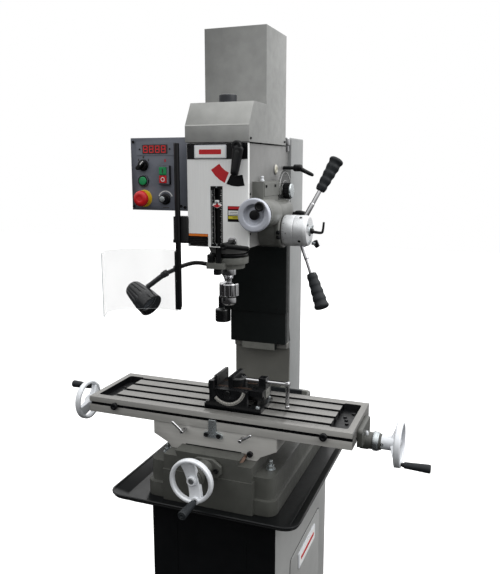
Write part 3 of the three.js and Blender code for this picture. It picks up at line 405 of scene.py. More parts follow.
def prism_into(bm, axis, outline, low, high):
    ends = []
    for along in (low, high):
        ends.append([bm.verts.new(place(axis, a, b, along)) for a, b in outline])
    n = len(outline)
    for i in range(n):
        bm.faces.new([ends[0][i], ends[0][(i + 1) % n], ends[1][(i + 1) % n], ends[1][i]])
    bm.faces.new(ends[0])
    bm.faces.new(ends[1][::-1])
    return bm


def prism(name, axis, outline, low, high, mat, body, corner=0.0, edge=0.0, steps=4, sharp=38):
    points = rounded(outline, corner, steps) if corner else [p[:2] for p in outline]
    o = solid_object(name, prism_into(bmesh.new(), axis, points, low, high), mat, body, sharp)
    return bevel(o, edge) if edge else o


def block(name, x, y, z, mat, body, edge=0.6, corner=0.0, axis="z"):
    spans = {"x": (y, z, x), "y": (x, z, y), "z": (x, y, z)}[axis]
    (a0, a1), (b0, b1), (low, high) = spans
    return prism(name, axis, rect(a0, a1, b0, b1), low, high, mat, body, corner, edge)


def smooth_path(points, steps):
    """Catmull-Rom points through a list of points."""
    vs = [Vector(p) for p in points]
    vs = [vs[0] * 2 - vs[1]] + vs + [vs[-1] * 2 - vs[-2]]
    result = []
    for i in range(1, len(vs) - 2):
        a, b, c, d = vs[i - 1:i + 3]
        for k in range(steps):
            t = k / steps
            bend = (2 * a - 5 * b + 4 * c - d) * t ** 2 + (3 * b - a - 3 * c + d) * t ** 3
            result.append(0.5 * (2 * b + (c - a) * t + bend))
    return result + [vs[-2]]


def ring_of(bm, centre, side, other, radius, count):
    """A circle of vertices in the plane of two directions."""
    angles = [math.tau * k / count for k in range(count)]
    return [bm.verts.new((centre + (side * math.cos(a) + other * math.sin(a)) * radius) * MM) for a in angles]


def sweep(name, points, radius, mat, body, steps=8, sides=16):
    """A round bar along a smooth path; radius is a number, or a function of the way along, 0 to 1."""
    path = smooth_path(points, steps)
    size = radius if callable(radius) else lambda t: radius
    bm = bmesh.new()
    up = Vector((0, 0, 1))
    side = None
    rings = []
    for i, p in enumerate(path):
        ahead = (path[min(i + 1, len(path) - 1)] - path[max(i - 1, 0)]).normalized()
        side = (ahead.cross(up) if side is None else side - ahead * side.dot(ahead)).normalized()
        other = ahead.cross(side)
        r = size(i / (len(path) - 1))
        rings.append(ring_of(bm, p, side, other, r, sides))
    for a, b in zip(rings, rings[1:]):
        for i in range(sides):
            bm.faces.new([a[i], a[(i + 1) % sides], b[(i + 1) % sides], b[i]])
    bm.faces.new(rings[0])
    bm.faces.new(rings[-1])
    return solid_object(name, bm, mat, body)


def boolean(o, tool):
    """Cuts a helper piece out of a piece, and removes the helper."""
    cut = o.modifiers.new("cut", "BOOLEAN")
    cut.solver = "EXACT"
    cut.object = tool
    bpy.context.view_layer.update()
    shaped = o.evaluated_get(bpy.context.evaluated_depsgraph_get())
    mesh = bpy.data.meshes.new_from_object(shaped)
    o.modifiers.clear()
    o.data = mesh
    bpy.data.objects.remove(tool)
    bm = bmesh.new()
    bm.from_mesh(mesh)
    bmesh.ops.dissolve_limit(bm, angle_limit=math.radians(0.5), verts=bm.verts, edges=bm.edges)
    sharpen(bm, 38)
    bm.to_mesh(mesh)
    bm.free()
    return o


def refined(node, mat, edge=1.0, segments=3, faces=None, extra=(), angle=35):
    """A CAD node's shape with rounded edges; faces(centre, normal) may pick an extra material by number."""
    body = frame["nodes"][node]["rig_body"]
    bm = bmesh.new()
    bm.from_mesh(frame["nodes"][node].data)
    bmesh.ops.remove_doubles(bm, verts=bm.verts, dist=2e-6)
    bmesh.ops.dissolve_limit(bm, angle_limit=math.radians(1.0), verts=bm.verts, edges=bm.edges)
    o = solid_object(node + "_shell", bm, mat, body)
    for m in extra:
        o.data.materials.append(m)
    if faces:
        for p in o.data.polygons:
            p.material_index = faces(p.center / MM, p.normal)
    if edge:
        bevel(o, edge, segments, angle)
    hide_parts(node)
    return o


def ring_marks(name, axis, centre, radius, along, count, width, height, mat, body, long_every=5,
        arc=(0, 360), lift=0.15):
    """Short graduation lines on a cylinder's surface."""
    bm = bmesh.new()
    u, v = centre
    for i in range(count):
        a = math.radians(arc[0] + (arc[1] - arc[0]) * i / count)
        reach = along[0] + (along[1] - along[0]) * (1.0 if i % long_every == 0 else 0.6)
        half = width / 2 / radius
        corners = [(a - half, along[0]), (a + half, along[0]), (a + half, reach), (a - half, reach)]
        ends = []
        for r in (radius - 0.3, radius + lift):
            ends.append([bm.verts.new(place(axis, u + r * math.cos(t), v + r * math.sin(t), w)) for t,
                w in corners])
        for k in range(4):
            bm.faces.new([ends[0][k], ends[0][(k + 1) % 4], ends[1][(k + 1) % 4], ends[1][k]])
        bm.faces.new(ends[0])
        bm.faces.new(ends[1])
    return solid_object(name, bm, mat, body)


def hexagon(across, turn=30):
    r = across / math.sqrt(3)
    return [(r * math.cos(math.radians(turn + 60 * k)),
        r * math.sin(math.radians(turn + 60 * k))) for k in range(6)]


def cap_screw(name, axis, u, v, face, out, radius, body, mat=None, depth=None):
    """A socket-head screw standing on a face; out is +1 or -1 along the axis."""
    mat = mat or ZINC
    depth = depth or radius * 1.1
    profile = [(0, face), (radius, face), (radius, face + out * depth), (radius * 0.55, face + out * depth),
        (radius * 0.55, face + out * depth * 0.45), (0, face + out * depth * 0.45)]
    return lathe(name, axis, profile, mat, body, u, v, corner=radius * 0.12, sides=24)


def moved(o, matrix):
    """Puts a piece made about the origin into place, before it rides on anything that moves."""
    o.data.transform(matrix)
    return o


def loft(name, rings, mat, body):
    """A closed solid through rings of points, each ring a list of the same length, in millimetres."""
    bm = bmesh.new()
    made = [[bm.verts.new(Vector(p) * MM) for p in ring] for ring in rings]
    n = len(made[0])
    for a, b in zip(made, made[1:]):
        for i in range(n):
            bm.faces.new([a[i], a[(i + 1) % n], b[(i + 1) % n], b[i]])
    bm.faces.new(made[0])
    bm.faces.new(made[-1])
    return solid_object(name, bm, mat, body)


def hoop(name, outline, z, radius, mat, body, corner=45, sides=12):
    """A closed round bead that follows a flat outline at one height."""
    path = [Vector((x, y, z)) for x, y in rounded(outline, corner, 8)]
    n = len(path)
    bm = bmesh.new()
    rings = []
    for i in range(n):
        ahead = (path[(i + 1) % n] - path[i - 1]).normalized()
        side = ahead.cross(Vector((0, 0, 1)))
        rings.append(ring_of(bm, path[i], side, Vector((0, 0, 1)), radius, sides))
    for i in range(n):
        a, b = rings[i], rings[(i + 1) % n]
        for k in range(sides):
            bm.faces.new([a[k], a[(k + 1) % sides], b[(k + 1) % sides], b[k]])
    return solid_object(name, bm, mat, body)


def plate_ring(name, axis, centre, inner, outer, low, high, mat, body, arc=None, sides=96):
    """A flat ring, or part of one between two angles in degrees."""
    u, v = centre
    if arc is None:
        return lathe(name, axis, rim(inner, outer, low, high), mat, body, u, v, corner=0.2, sides=sides,
            steps=1)
    steps = max(6, int((arc[1] - arc[0]) / 4))
    angles = [math.radians(arc[0] + (arc[1] - arc[0]) * i / steps) for i in range(steps + 1)]
    outline = [(u + outer * math.cos(a), v + outer * math.sin(a)) for a in angles]
    outline += [(u + inner * math.cos(a), v + inner * math.sin(a)) for a in angles[::-1]]
    return prism(name, axis, outline, low, high, mat, body)


def marks(name, axis, boxes, low, high, mat, body):
    """Many small flat marks in one piece: each box is (u0, u1, v0, v1)."""
    bm = bmesh.new()
    for box in boxes:
        prism_into(bm, axis, rect(*box), low, high)
    return solid_object(name, bm, mat, body)


# ---------------------------------------------------------------- stand and tray
def front_faces(centre, normal):
    return 1 if normal.y < -0.9 else 0


refined("cabinet_stand", STAND, 2.5, 3, front_faces, (PANEL_BLACK,))
for tag, x0, x1 in (("left", -196, -114), ("middle", -112, 108), ("right", 110, 196)):
    block("stand_front_" + tag, (x0, x1), (-294.6, -292.8), (3, 757), PANEL_BLACK, "frame", 0.7, 1.5, "y")
refined("cabinet_door", STAND, 0.9)
prism("door_gasket", "x", rect(-151.5, 200.5, 59.5, 530.5), 197.02, 197.9, PLASTIC, "frame", 24)
prism("door_badge", "x", rect(-70, 130, 448, 503), 199.4, 203.5, ALLOY, "door", 9, 1.2)
prism("door_badge_face", "x", rect(-62, 122, 454, 497), 203.3, 203.9, FACEPLATE, "door", 6)
prism("door_badge_stripe", "x", rect(-48, 108, 470, 482), 203.8, 204.3, RED_INK, "door", 3)
lathe("door_latch", "x", [[9, 199.4], [9, 203], [7, 204.5]], CHROME, "door", -125, 300, sides=32)
# A dark strip for the latch's key slot: painted shade in the slot.
block("door_latch_slot", (204.3, 204.9), (-131, -119), (299, 301), INK_AND_SHADE, "door", 0, 0, "x")

refined("chip_tray", TRAY, 1.2)
TRAY_RIM = rect(-285, 285, -396, 336)
hoop("tray_lip_upper", TRAY_RIM, 785.5, 3.4, TRAY, "frame", 48)
hoop("tray_lip_lower", rect(-281, 281, -392, 332), 778, 3.2, TRAY, "frame", 46)

refined("machine_base", CAST, 3.0, 4)
for place_name, y in (("front", -246), ("rear", 70)):
    for name, side in SIDES:
        tag = place_name + "_" + name
        lathe("stud_washer_" + tag, "z", rod(14, 870.8, 873.4), ZINC, "frame", side * 165, y, sides=32)
        prism("stud_nut_" + tag, "z", [(side * 165 + a, y + b) for a, b in hexagon(19)], 873.3, 884, ZINC,
            "frame", 0, 1.0)
        lathe("stud_" + tag, "z", [[6, 884], [6, 896.5], [4.5, 898.5]], ZINC, "frame", side * 165, y,
            sides=24)

refined("y_screw_bracket", CAST, 1.8)
for tag, side in SIDES:
    cap_screw("bracket_screw_" + tag, "y", side * 36, 885, -339.8, -1, 7.5, "frame", BLACK, 5)


# ---------------------------------------------------------------- column and covers
def column_faces(centre, normal):
    return 1 if centre.y < 142.5 else 0


refined("column", COLUMN, 4.0, 4, column_faces, (MACHINED,))
# The column front below the cover is in the darker column paint: painted shade.
block("column_front_plate", (-97.5, 97.5), (142.1, 152), (923, 1119.4), COLUMN_FRONT_SHADE, "frame", 2.5)
for name, x in (("column_way_edge", (84, 97.4)), ("column_way_edge_left", (-97.4, -84))):
    block(name, x, (142.2, 152), (1119.6, 1812), COLUMN, "frame", 2.5)
lathe("column_top_fitting", "z", [[7, 1772], [7, 1790], [11, 1791], [11, 1812], [9, 1815]], CHROME, "head",
    86, 128, sides=32)
for name in ("lower_way_cover", "upper_way_cover"):
    refined(name, COVER, 0.8, 2)
block("lower_cover_rail", (-55.6, 59.6), (97.4, 98.2), (1119.4, 1142.4), CLAMP, "frame", 0.3)
for tag, side in SIDES:
    for z, body, front, name in ((1330, "frame", 97, "lower"), (1148, "frame", 97, "lower"),
            (1262, "head", 92, "upper")):
        cap_screw("cover_screw_%s_%d_%s" % (name, z, tag), "y", side * 72, z, front + 0.2, -1, 4, body,
            BLACK, 2)
block("rear_apron_bar", (-152, 152), (112, 122), (969, 985), RUBBER, "frame", 1.0)
block("rear_apron_sheet", (-138, 138), (115, 117.5), (921, 970), RUBBER, "frame", 0.5)
for tag, side in SIDES:
    block("rear_apron_bracket_" + tag, sorted((side * 70, side * 84)), (121, 143.2), (970, 984), CLAMP,
        "frame", 0.8)
    block("rear_apron_end_" + tag, sorted((side * 152, side * 170)), (111, 123), (968, 986), CLAMP, "frame",
        2.0)
for axis in "zyx":
    refined(axis + "_leadscrew", STEEL, 0.6, 2)
refined("elevation_crank", RUBBER, 1.2)


# ---------------------------------------------------------------- saddle
refined("saddle", SADDLE, 1.6)
prism("stop_plate", "y", [(-28, 955), (32, 955), (32, 968), (17, 973), (12, 974), (12, 1009), (-12.5, 1009),
    (-12.5, 974), (-17, 973), (-28, 968)], -284.5, -278.1, ZINC, "saddle", 4, 1.0)
for x, tag in ((-18, "left"), (20, "right")):
    cap_screw("stop_screw_" + tag, "y", x, 964, -284.3, -1, 6.5, "saddle", BLACK, 5)
lathe("gib_screw", "y", [[9, -278], [9, -284], [7.5, -286], [4, -286], [4, -282]], BLACK, "saddle", 114.6,
    922, sides=28)
near_end = [(96, -277, 922), (106, -277, 915), (104, -277, 909), (93, -277, 916)]
middle = [(89, -304, 906), (99, -304, 900), (97, -304, 894), (86, -304, 900)]
tip_end = [(82, -322, 899), (92, -322, 893), (91, -322, 890), (81, -322, 896)]
loft("gib_strip", [near_end, middle, tip_end], BRONZE, "saddle")
block("dovetail_shadow", (-88, 88), (-278.6, -277.8), (919.5, 923), INK_AND_SHADE, "saddle", 0.2)
for side, x, z, tip in (("left", -88, 968.5, (-31, 31)), ("right", 93, 967, (34, 24))):
    body = side + "_lock"
    lathe("saddle_lock_hub_" + side, "y", [[5.6, -278.4], [5.6, -306], [4.6, -307.5], [3, -307.5],
        [3, -304]], CHROME, body, x, z, sides=28)
    # A dark disc for the socket in the hub's end: painted shade in the hole.
    lathe("saddle_lock_socket_" + side, "y", rod(2.9, -304.5, -306.8), INK_AND_SHADE, body, x, z, sides=20)
    bar = slanted("saddle_lock_bar_" + side, (x, -300.5, z), (tip[0], -7, tip[1]), [[3.8, 0], [3.7, 36],
        [3.2, 42], [0, 44]], CHROME, body, 1.0, 20)
    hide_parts("saddle_lock_" + side)


# ---------------------------------------------------------------- table
# Painted shade: the insides of the T-slots and the front groove take the near-black slot shadow. Painted
# sheen: the front faces take a lighter copy of the machined iron.
def table_faces(centre, normal):
    inside = abs(centre.y + 160) < 108 and 1000 < centre.z < 1027.6 and abs(centre.x + 5) < 400
    groove = centre.y > -280.3 and centre.y < -255 and 1003.5 < centre.z < 1013 and abs(normal.x) < 0.5
    if inside or groove:
        return 1
    return 2 if normal.z > 0.9 and centre.z > 1027 else 3 if normal.y < -0.7 else 0


refined("table", MACHINED, 1.0, 2, table_faces, (SLOT_SHADE, MACHINED_Y, TABLE_FRONT_SHEEN))
# A near-black strip on the floor of the front groove: painted shade in the groove.
block("table_groove_shade", (-414, 404), (-272.5, -271.2), (1004.6, 1011.9), INK_AND_SHADE, "table", 0)
# The floors of the end pockets and the bolts in them take the slot shadow colour: painted shade in the
# pockets.
for side, low, high in (("left", -396, -347), ("right", 337, 386)):
    block("pocket_floor_" + side, (low, high), (-253, -67), (1009.1, 1009.9), SLOT_SHADE, "table", 0.2)
    for k, (dx, dy) in enumerate(((10, 30), (31, 70), (16, 118), (34, 150), (24, 96))):
        lathe("pocket_bolt_%s_%d" % (side, k), "z", rod(5.5, 1009.7, 1013.5), SLOT_SHADE, "table", low + dx,
            -250 + dy, sides=20)
for tag, side in SIDES:
    refined(tag + "_end_bracket", CAST, 1.6)
for tag, x in (("left", -324), ("right", 327)):
    dog = lathe("stop_dog_head_" + tag, "y", [[11, -281], [11, -290.5], [9.5, -291.8], [4, -291.8],
        [4, -289.5]], BLACK, tag + "_dog", x, 1008, sides=36)
    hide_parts("stop_dog_" + tag)
lathe("oil_ball_right", "z", [[5, 984], [5, 991], [3.5, 995], [0, 996]], ALLOY, "table", 424, -172,
    sides=24)


# ---------------------------------------------------------------- handwheels
def rounded_strip(half, low, high, y, corner=2.0):
    """One ring of a flat bar's section across local X, at a place along local Y."""
    points = rounded([(-half, low), (half, low), (half, high), (-half, high)], corner)
    return [(x, y, z) for x, z in points]


def handwheel(tag, spot, axis, quarter, angle, low, dial_low, dial_high, body):
    """A rim on one broad bar with a hub, a dial and a grip. The numbers are places along its shaft."""
    matrix = Matrix.Translation(Vector(spot) * MM) @ Matrix.Rotation(quarter * math.pi / 2, 4, axis)
    matrix = matrix @ Matrix.Rotation(angle, 4, "Z")
    profile = [[52.3, -6], [55, -9.5], [60.5, -9.5], [63.5, -6], [63.5, 6], [60.5, 9.5], [55.5, 9.5],
        [52.3, 6.5], [52.3, -6]]
    tyre = moved(lathe("wheel_rim_" + tag, "z", profile, ALLOY, body, corner=2.6, sides=112, steps=4),
        matrix)
    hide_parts(tag + "_handwheel")
    rings = []
    steps = 28
    for i in range(steps + 1):
        y = -55.5 + 111 * i / steps
        t = min(1.0, abs(y) / 55.5)
        half = 16.4 + 3.6 * t ** 3
        front = 6.5 * t ** 2 - 3.5 * (1 - t ** 2)
        back = -25.5 + 19.5 * t ** 1.4
        rings.append(rounded_strip(half, back, front, y, 2.2))
    moved(loft("wheel_bar_" + tag, rings, ALLOY, body), matrix)
    eye = [[10.6, -8.5], [10.6, 9.8], [5.2, 9.8], [5.2, 8.6]]
    moved(lathe("wheel_eye_" + tag, "z", eye, ALLOY, body, 0, -54, corner=0.9, sides=40), matrix)
    hub = [[20, low], [20, -24], [18.5, -12], [13.5, -3], [13.5, 3.5], [12, 5], [8.6, 5], [8.6, 3.6]]
    moved(lathe("wheel_hub_" + tag, "z", hub, ALLOY, body, corner=0.9, sides=56), matrix)
    moved(lathe("wheel_cap_" + tag, "z", [[8.5, 3.4], [8.2, 4.8], [0, 5.3]], ZINC, body, sides=36), matrix)
    band = [[26.4, dial_low], [27, dial_low + 1], [27, dial_high - 4], [25.4, dial_high - 3.4],
        [25.4, dial_high]]
    moved(lathe("wheel_dial_" + tag, "z", band, CAST if tag == "front" else ZINC, body, corner=0.4,
        sides=80), matrix)
    moved(ring_marks("wheel_dial_marks_" + tag, "z", (0, 0), 27, (dial_low + 1.2, dial_low + 7.5), 50, 0.7,
        6, INK_AND_SHADE, body), matrix)
    collar = [[23, dial_high], [23, dial_high + 5], [20.6, dial_high + 6.5]]
    moved(lathe("wheel_collar_" + tag, "z", collar, CAST, body, corner=0.6, sides=56), matrix)
    grip(tag, matrix)


def grip(tag, matrix):
    body = tag + "_grip"
    neck = [[4.6, 8.2], [4.6, 13], [6.2, 14], [6.2, 18], [5.0, 19.2]]
    moved(lathe("grip_neck_" + tag, "z", neck, BLACK, body, 0, -54, sides=28), matrix)
    handle = [[8.0, 18.6], [9.0, 20.2], [9.8, 40], [11.0, 62], [12.0, 82], [12.0, 87], [10.8, 89.6],
        [8.6, 89.8], [8.2, 88.6], [6.8, 88.6], [6.4, 89.8], [4.2, 89.8], [3.8, 87.6]]
    piece = moved(lathe("grip_handle_" + tag, "z", handle, RUBBER, body, 0, -54, corner=0.7, sides=48),
        matrix)
    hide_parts(tag + "_wheel_grip")


handwheel("right", (513, -160, 964), "Y", 1, 0.957, -56, -71.7, -55, "x_drive")
handwheel("left", (-504.5, -160, 964), "Y", -1, 2.575, -44, -57.9, -43, "x_drive")
handwheel("front", (0, -425, 889), "X", 1, 0.26, -17, -29.5, -16, "y_drive")
cap_screw("hub_set_screw_right", "y", 468, 964, -179.2, -1, 4.2, "x_drive", BLACK, 1.4)


# ---------------------------------------------------------------- head
def head_faces(centre, normal):
    """The cases bolted on the right side of the head are a darker paint."""
    return 1 if centre.x > 88.3 else 0


def hood_faces(centre, normal):
    """The slope at the front of the hood gets a lighter copy of the hood paint, a painted highlight for the
    light it catches.
    """
    return 1 if normal.y < -0.5 and normal.z > 0.3 and centre.z < 1897.5 else 0


refined("head_casting", HEADCAST, 1.6, 3, head_faces, (GEARCASE,))
refined("motor_hood", HOOD, 1.8, 3, hood_faces, (HOOD_SLOPE_HIGHLIGHT,))
fold = [(-235.3, 1832.4), (-235.3, 1834.0), (-234.1, 1836.2), (-233.3, 1835.8), (-234.4, 1833.9),
    (-234.4, 1832.4)]
prism("hood_fold", "x", fold, -94.5, 94.5, HOOD_FOLD, "head", 0, 0.2)
refined("motor", BLACK, 1.5, 2)
for gear in ("motor_pinion", "drive_gear"):
    refined(gear, STEEL, 0.4, 1)

SLOT = (-9, 5), (-240, -225), (1512, 1664)
panel = prism("front_panel", "z", [(-91, -232.5), (91, -232.5), (91, -220), (88.4, -220), (88.4, -231.2),
    (-88.4, -231.2), (-88.4, -220), (-91, -220)], 1501, 1787, FACEPLATE, "head", 0.8, 0, 3)
boolean(panel, block("slot_cutter", *SLOT, INK_AND_SHADE, "head", 0, 3, "y"))
prism("front_band", "y", rect(-90, 90, 1744, 1786.6), -233.4, -232.3, BLACK, "head", 0.8, 0.3)
prism("name_plate", "y", rect(-67, 29, 1746, 1782), -235.6, -233.2, ALLOY, "head", 3, 0.8)
prism("name_plate_face", "y", rect(-63, 25, 1749, 1779), -236.0, -235.4, FACEPLATE, "head", 2)
prism("name_plate_stripe", "y", rect(-52, 14, 1757, 1770), -236.3, -235.8, RED_INK, "head", 2)
for tag, side in SIDES:
    cap_screw("panel_screw_" + tag, "y", side * 84, 1779, -233.2, -1, 3.4, "head", BLACK, 2.6)
for tag, side in SIDES:
    cap_screw("panel_low_screw_" + tag, "y", side * 86, 1506, -232.4, -1, 2.6, "head", ZINC, 2)
prism("range_sector_low", "y", [(7, 1731.5), (-18, 1715), (-5, 1699), (8, 1688), (22.5, 1680), (35, 1708),
    (25, 1713), (14, 1722)], -232.9, -232.3, RED_INK, "head")
prism("range_sector_high", "y", [(40.5, 1702), (27.6, 1677.5), (44, 1672), (62, 1670.5), (81, 1673),
    (75, 1702), (60, 1700)], -232.9, -232.3, INK_AND_SHADE, "head")

scale = prism("depth_scale", "y", rect(-20, 16, 1504, 1671), -233.1, -232.3, INK_AND_SHADE, "head", 0.5)
boolean(scale, block("scale_cutter", *SLOT, INK_AND_SHADE, "head", 0, 3, "y"))
left_ticks = [(-18.5, -15.2 if k % 5 else -12.6, 1512 + 3 * k, 1512.8 + 3 * k) for k in range(50)]
right_ticks = [(11.4 if k % 4 else 9.2, 14.4, 1512 + 4.7625 * k, 1512.9 + 4.7625 * k) for k in range(32)]
marks("depth_scale_ticks", "y", left_ticks + right_ticks, -233.4, -232.9, WHITE, "head")
for z in (1507.5, 1668):
    lathe("scale_screw_%d" % z, "y", rod(2.2, -232.6, -234.2), ZINC, "head", -2, z, sides=16)
block("slot_back", (-14, 10), (-214.5, -212.4), (1506, 1668), BLACK, "head", 0.3)
prism("depth_pointer", "y", [(-13.5, 1618), (1, 1610.5), (15.5, 1618), (13, 1623), (7, 1624), (7, 1633),
    (-5, 1633), (-5, 1624), (-11, 1623)], -237.0, -235.4, WHITE, "quill", 0.8, 0.3)
prism("depth_pointer_arrow", "y", [(-10.5, 1617.5), (1, 1612), (12.5, 1617.5), (4.5, 1620), (4.5, 1627),
    (-2.5, 1627), (-2.5, 1620)], -237.5, -236.8, RED_INK, "quill", 0.4)
lathe("depth_pointer_screw", "y", [[2.6, -214], [2.6, -236], [4.2, -236], [4.2, -239.2]], ZINC, "quill", 1,
    1627, sides=24)

prism("label_back", "y", rect(-90, -29, 1503, 1538), -232.8, -232.3, INK_AND_SHADE, "head", 0.6)
prism("label_stripe", "y", rect(-89.4, -29.6, 1531, 1537.4), -233.0, -232.6, ORANGE, "head", 0.4)
marks("label_rules", "y", [(-86, -86 + w, 1506.5 + 4.6 * k, 1507.3 + 4.6 * k) for k,
    w in enumerate((44, 51, 47, 52, 40))], -233.0, -232.7, CHROME_DARK, "head")
prism("notice_back", "y", rect(31, 70, 1574, 1617), -232.8, -232.3, INK_AND_SHADE, "head", 0.6)
for name, z0, z1, mat in (("top", 1609, 1616, RED_INK), ("middle", 1592, 1605, WHITE),
        ("low", 1582, 1589.5, LIME)):
    prism("notice_" + name, "y", [(33, z0), (68, z0), (68, z1), (33, z1)], -233.0, -232.6, mat, "head", 0.4)
marks("notice_rules", "y", [(37, 63, 1595, 1596), (37, 60, 1599.5, 1600.5), (46, 64, 1585, 1586.2)], -233.2,
    -232.9, INK_AND_SHADE, "head")

# right side of the head
for y in (-224, 74):
    cap_screw("hood_screw_%d" % abs(y), "x", y, 1799, 94.8, 1, 3.6, "head", BLACK, 3)
for z in (1650, 1540):
    cap_screw("side_screw_%d" % z, "x", -212, z, 87.8, 1, 3.2, "head", BLACK, 3)
lathe("sight_glass_rim", "x", [[12, 87.6], [16, 87.6], [16, 90], [14.5, 91.4], [12, 90.6], [12, 87.6]],
    HEADCAST, "head", 8, 1716, sides=56)
lathe("sight_glass", "x", [[14.2, 88], [14.2, 91.4], [10, 93.4], [0, 94]], GLASS, "head", 8, 1716, sides=56)
lathe("oil_plug", "z", [[6.5, 1683], [6.5, 1687], [4.4, 1688], [4.4, 1693], [5.4, 1695], [4.4, 1697.5],
    [0, 1698]], ALLOY, "head", 98, -139, sides=28)
block("gear_box_cover", (119.5, 122.6), (-186, -36), (1642, 1680), GEARCASE, "head", 1.2, 3, "x")
for y in (-174, -96):
    cap_screw("gear_box_screw_%d" % abs(y), "x", y, 1670, 122.4, 1, 4.0, "head", BLACK, 3)
plate_ring("worm_cover_ring", "y", FINE_FEED, 26, 40.8, -247.2, -241, GEARCASE, "head")
for k in range(3):
    a = math.radians(60 + 120 * k)
    cap_screw("worm_cover_screw_%d" % k, "y", *around(FINE_FEED, 34, a), -247, -1, 3, "head", BLACK, 2)
lathe("capstan_boss_ring", "x", [[40, 141], [51.5, 141], [51.5, 150.5], [49, 153.2], [40, 153.2],
    [40, 141]], GEARCASE, "head", CAPSTAN[0], CAPSTAN[1], corner=1.2, sides=96)
for k, a in enumerate((183, 199)):
    lathe("capstan_stop_%d" % k, "x", [[6, 146], [6, 154.4], [4.6, 155.2], [2.2, 155.2], [2.2, 153.6]],
        BLACK, "head", *around(CAPSTAN, 50, math.radians(a)), sides=24)

# the toothed dial plate behind the feed selector
prism("dial_plate", "x", toothed(FEED_DIAL, 64, 60.5, 36), 121.0, 122.4, DIAL, "head", 0, 0.3)
plate_ring("dial_plate_rim", "x", FEED_DIAL, 54, 58, 122.2, 123.2, STEEL, "head")
plate_ring("dial_plate_rim_inner", "x", FEED_DIAL, 30, 32, 122.2, 123.0, STEEL, "head")
knob = prism("feed_dial_knob_skirt", "x", toothed(FEED_DIAL, 24.2, 22.9, 30), 124, 141, BLACK, "feed_dial",
    0, 0.5)
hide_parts("feed_dial_knob")
lathe("feed_dial_knob_face", "x", [[22.4, 140], [22.4, 142.6], [20.6, 145.6], [0, 146]], ZINC, "feed_dial",
    *FEED_DIAL, sides=72)
lathe("feed_dial_knob_stem", "x", rod(11, 121.4, 125), BLACK, "feed_dial", *FEED_DIAL, sides=36)


# ---------------------------------------------------------------- levers on the head
def lever_arm(name, start, end, widths, thick, mat, body, flat, steps=24):
    """A flat tapering arm with rounded section; flat is the direction of its thickness."""
    a, b = Vector(start), Vector(end)
    ahead = (b - a).normalized()
    through = (Vector(flat) - ahead * ahead.dot(Vector(flat))).normalized()
    across = ahead.cross(through)
    rings = []
    for i in range(steps + 1):
        t = i / steps
        w = widths(t)
        d = thick * (1 if 0.05 < t < 0.95 else 0.75)
        ring = []
        for k in range(20):
            c, s = math.cos(math.tau * k / 20), math.sin(math.tau * k / 20)
            wide, deep = w * math.copysign(abs(c) ** 0.7, c), d * math.copysign(abs(s) ** 0.7, s)
            ring.append(a.lerp(b, t) + across * wide + through * deep)
        rings.append(ring)
    return loft(name, rings, mat, body)


def end_round(t, base, tip):
    """Half width along an arm that runs from base to tip and is rounded at both ends."""
    w = base + (tip - base) * t
    reach = 0.14
    if t < reach:
        w *= math.sqrt(max(0.02, 1 - (1 - t / reach) ** 2))
    if t > 1 - reach / 2:
        w *= math.sqrt(max(0.02, 1 - ((t - 1 + reach / 2) / (reach / 2)) ** 2))
    return w


gear_boss = lathe("gear_lever_boss", "y", [[9, -232.6], [9, -236], [13.6, -237], [14.2, -255], [12, -258],
    [5, -258.4], [5, -256]], BLACK, "gear_selector", 66, 1779, corner=1.2, sides=48)
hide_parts("gear_lever")
lever_arm("gear_lever_arm", (71, -250, 1781), (60, -256, 1699), lambda t: end_round(t, 15.5, 10.5), 8.5,
    BLACK, "gear_selector", (0, 1, 0))
lever_arm("gear_lever_rib", (70, -258, 1768), (61, -263.5, 1708), lambda t: end_round(t, 6.5, 4.5), 2.2,
    PLASTIC, "gear_selector", (0, 1, 0))

lathe("quill_lock_washer", "y", [[13, -232.6], [13, -236], [11.5, -238.2], [0, -238.8]], CHROME,
    "quill_lock", 45, 1520, sides=48)
quill_hub = lathe("quill_lock_hub", "y", [[9.8, -240], [10.4, -262], [8.8, -265.4], [3.4, -265.6],
    [3.4, -263.4]], BLACK, "quill_lock", 30, 1508, corner=1.2, sides=40)
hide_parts("quill_lock_lever")
slanted("quill_lock_stem", (47, -236, 1519), (-17, -12, -10), [[7, 0], [6.8, 12], [7.6, 22], [0, 24]],
    BLACK, "quill_lock", 1.0, 28)
lever_arm("quill_lock_arm", (22, -256, 1509), (104, -256, 1504), lambda t: end_round(t, 7.0, 6.6), 6.0,
    BLACK, "quill_lock", (0, 1, 0))

head_hub = lathe("head_lock_hub", "x", [[9, 121], [10.8, 124], [11.2, 143], [9, 148.5], [0, 149.4]], BLACK,
    "head_lock", 92, 1720, corner=1.4, sides=40)
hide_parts("head_lock_lever")
lathe("head_lock_shaft", "x", rod(5.6, 87, 122), BLACK, "head_lock", 92, 1720, sides=28)
slanted("head_lock_arm", (138, 92, 1719), (0.9, 0, -0.42), [[8.6, 0], [7.0, 12], [6.4, 24], [6.2, 40],
    [5.0, 49], [3, 52], [0, 53]], BLACK, "head_lock", 1.6, 28)
slanted("second_lever", (118, 96, 1577), (1, -0.1, 0.02), [[6, 0], [6, 8], [9.5, 12], [10.5, 26], [8, 40],
    [4.5, 46], [0, 47]], BLACK, "head", 1.6, 28)


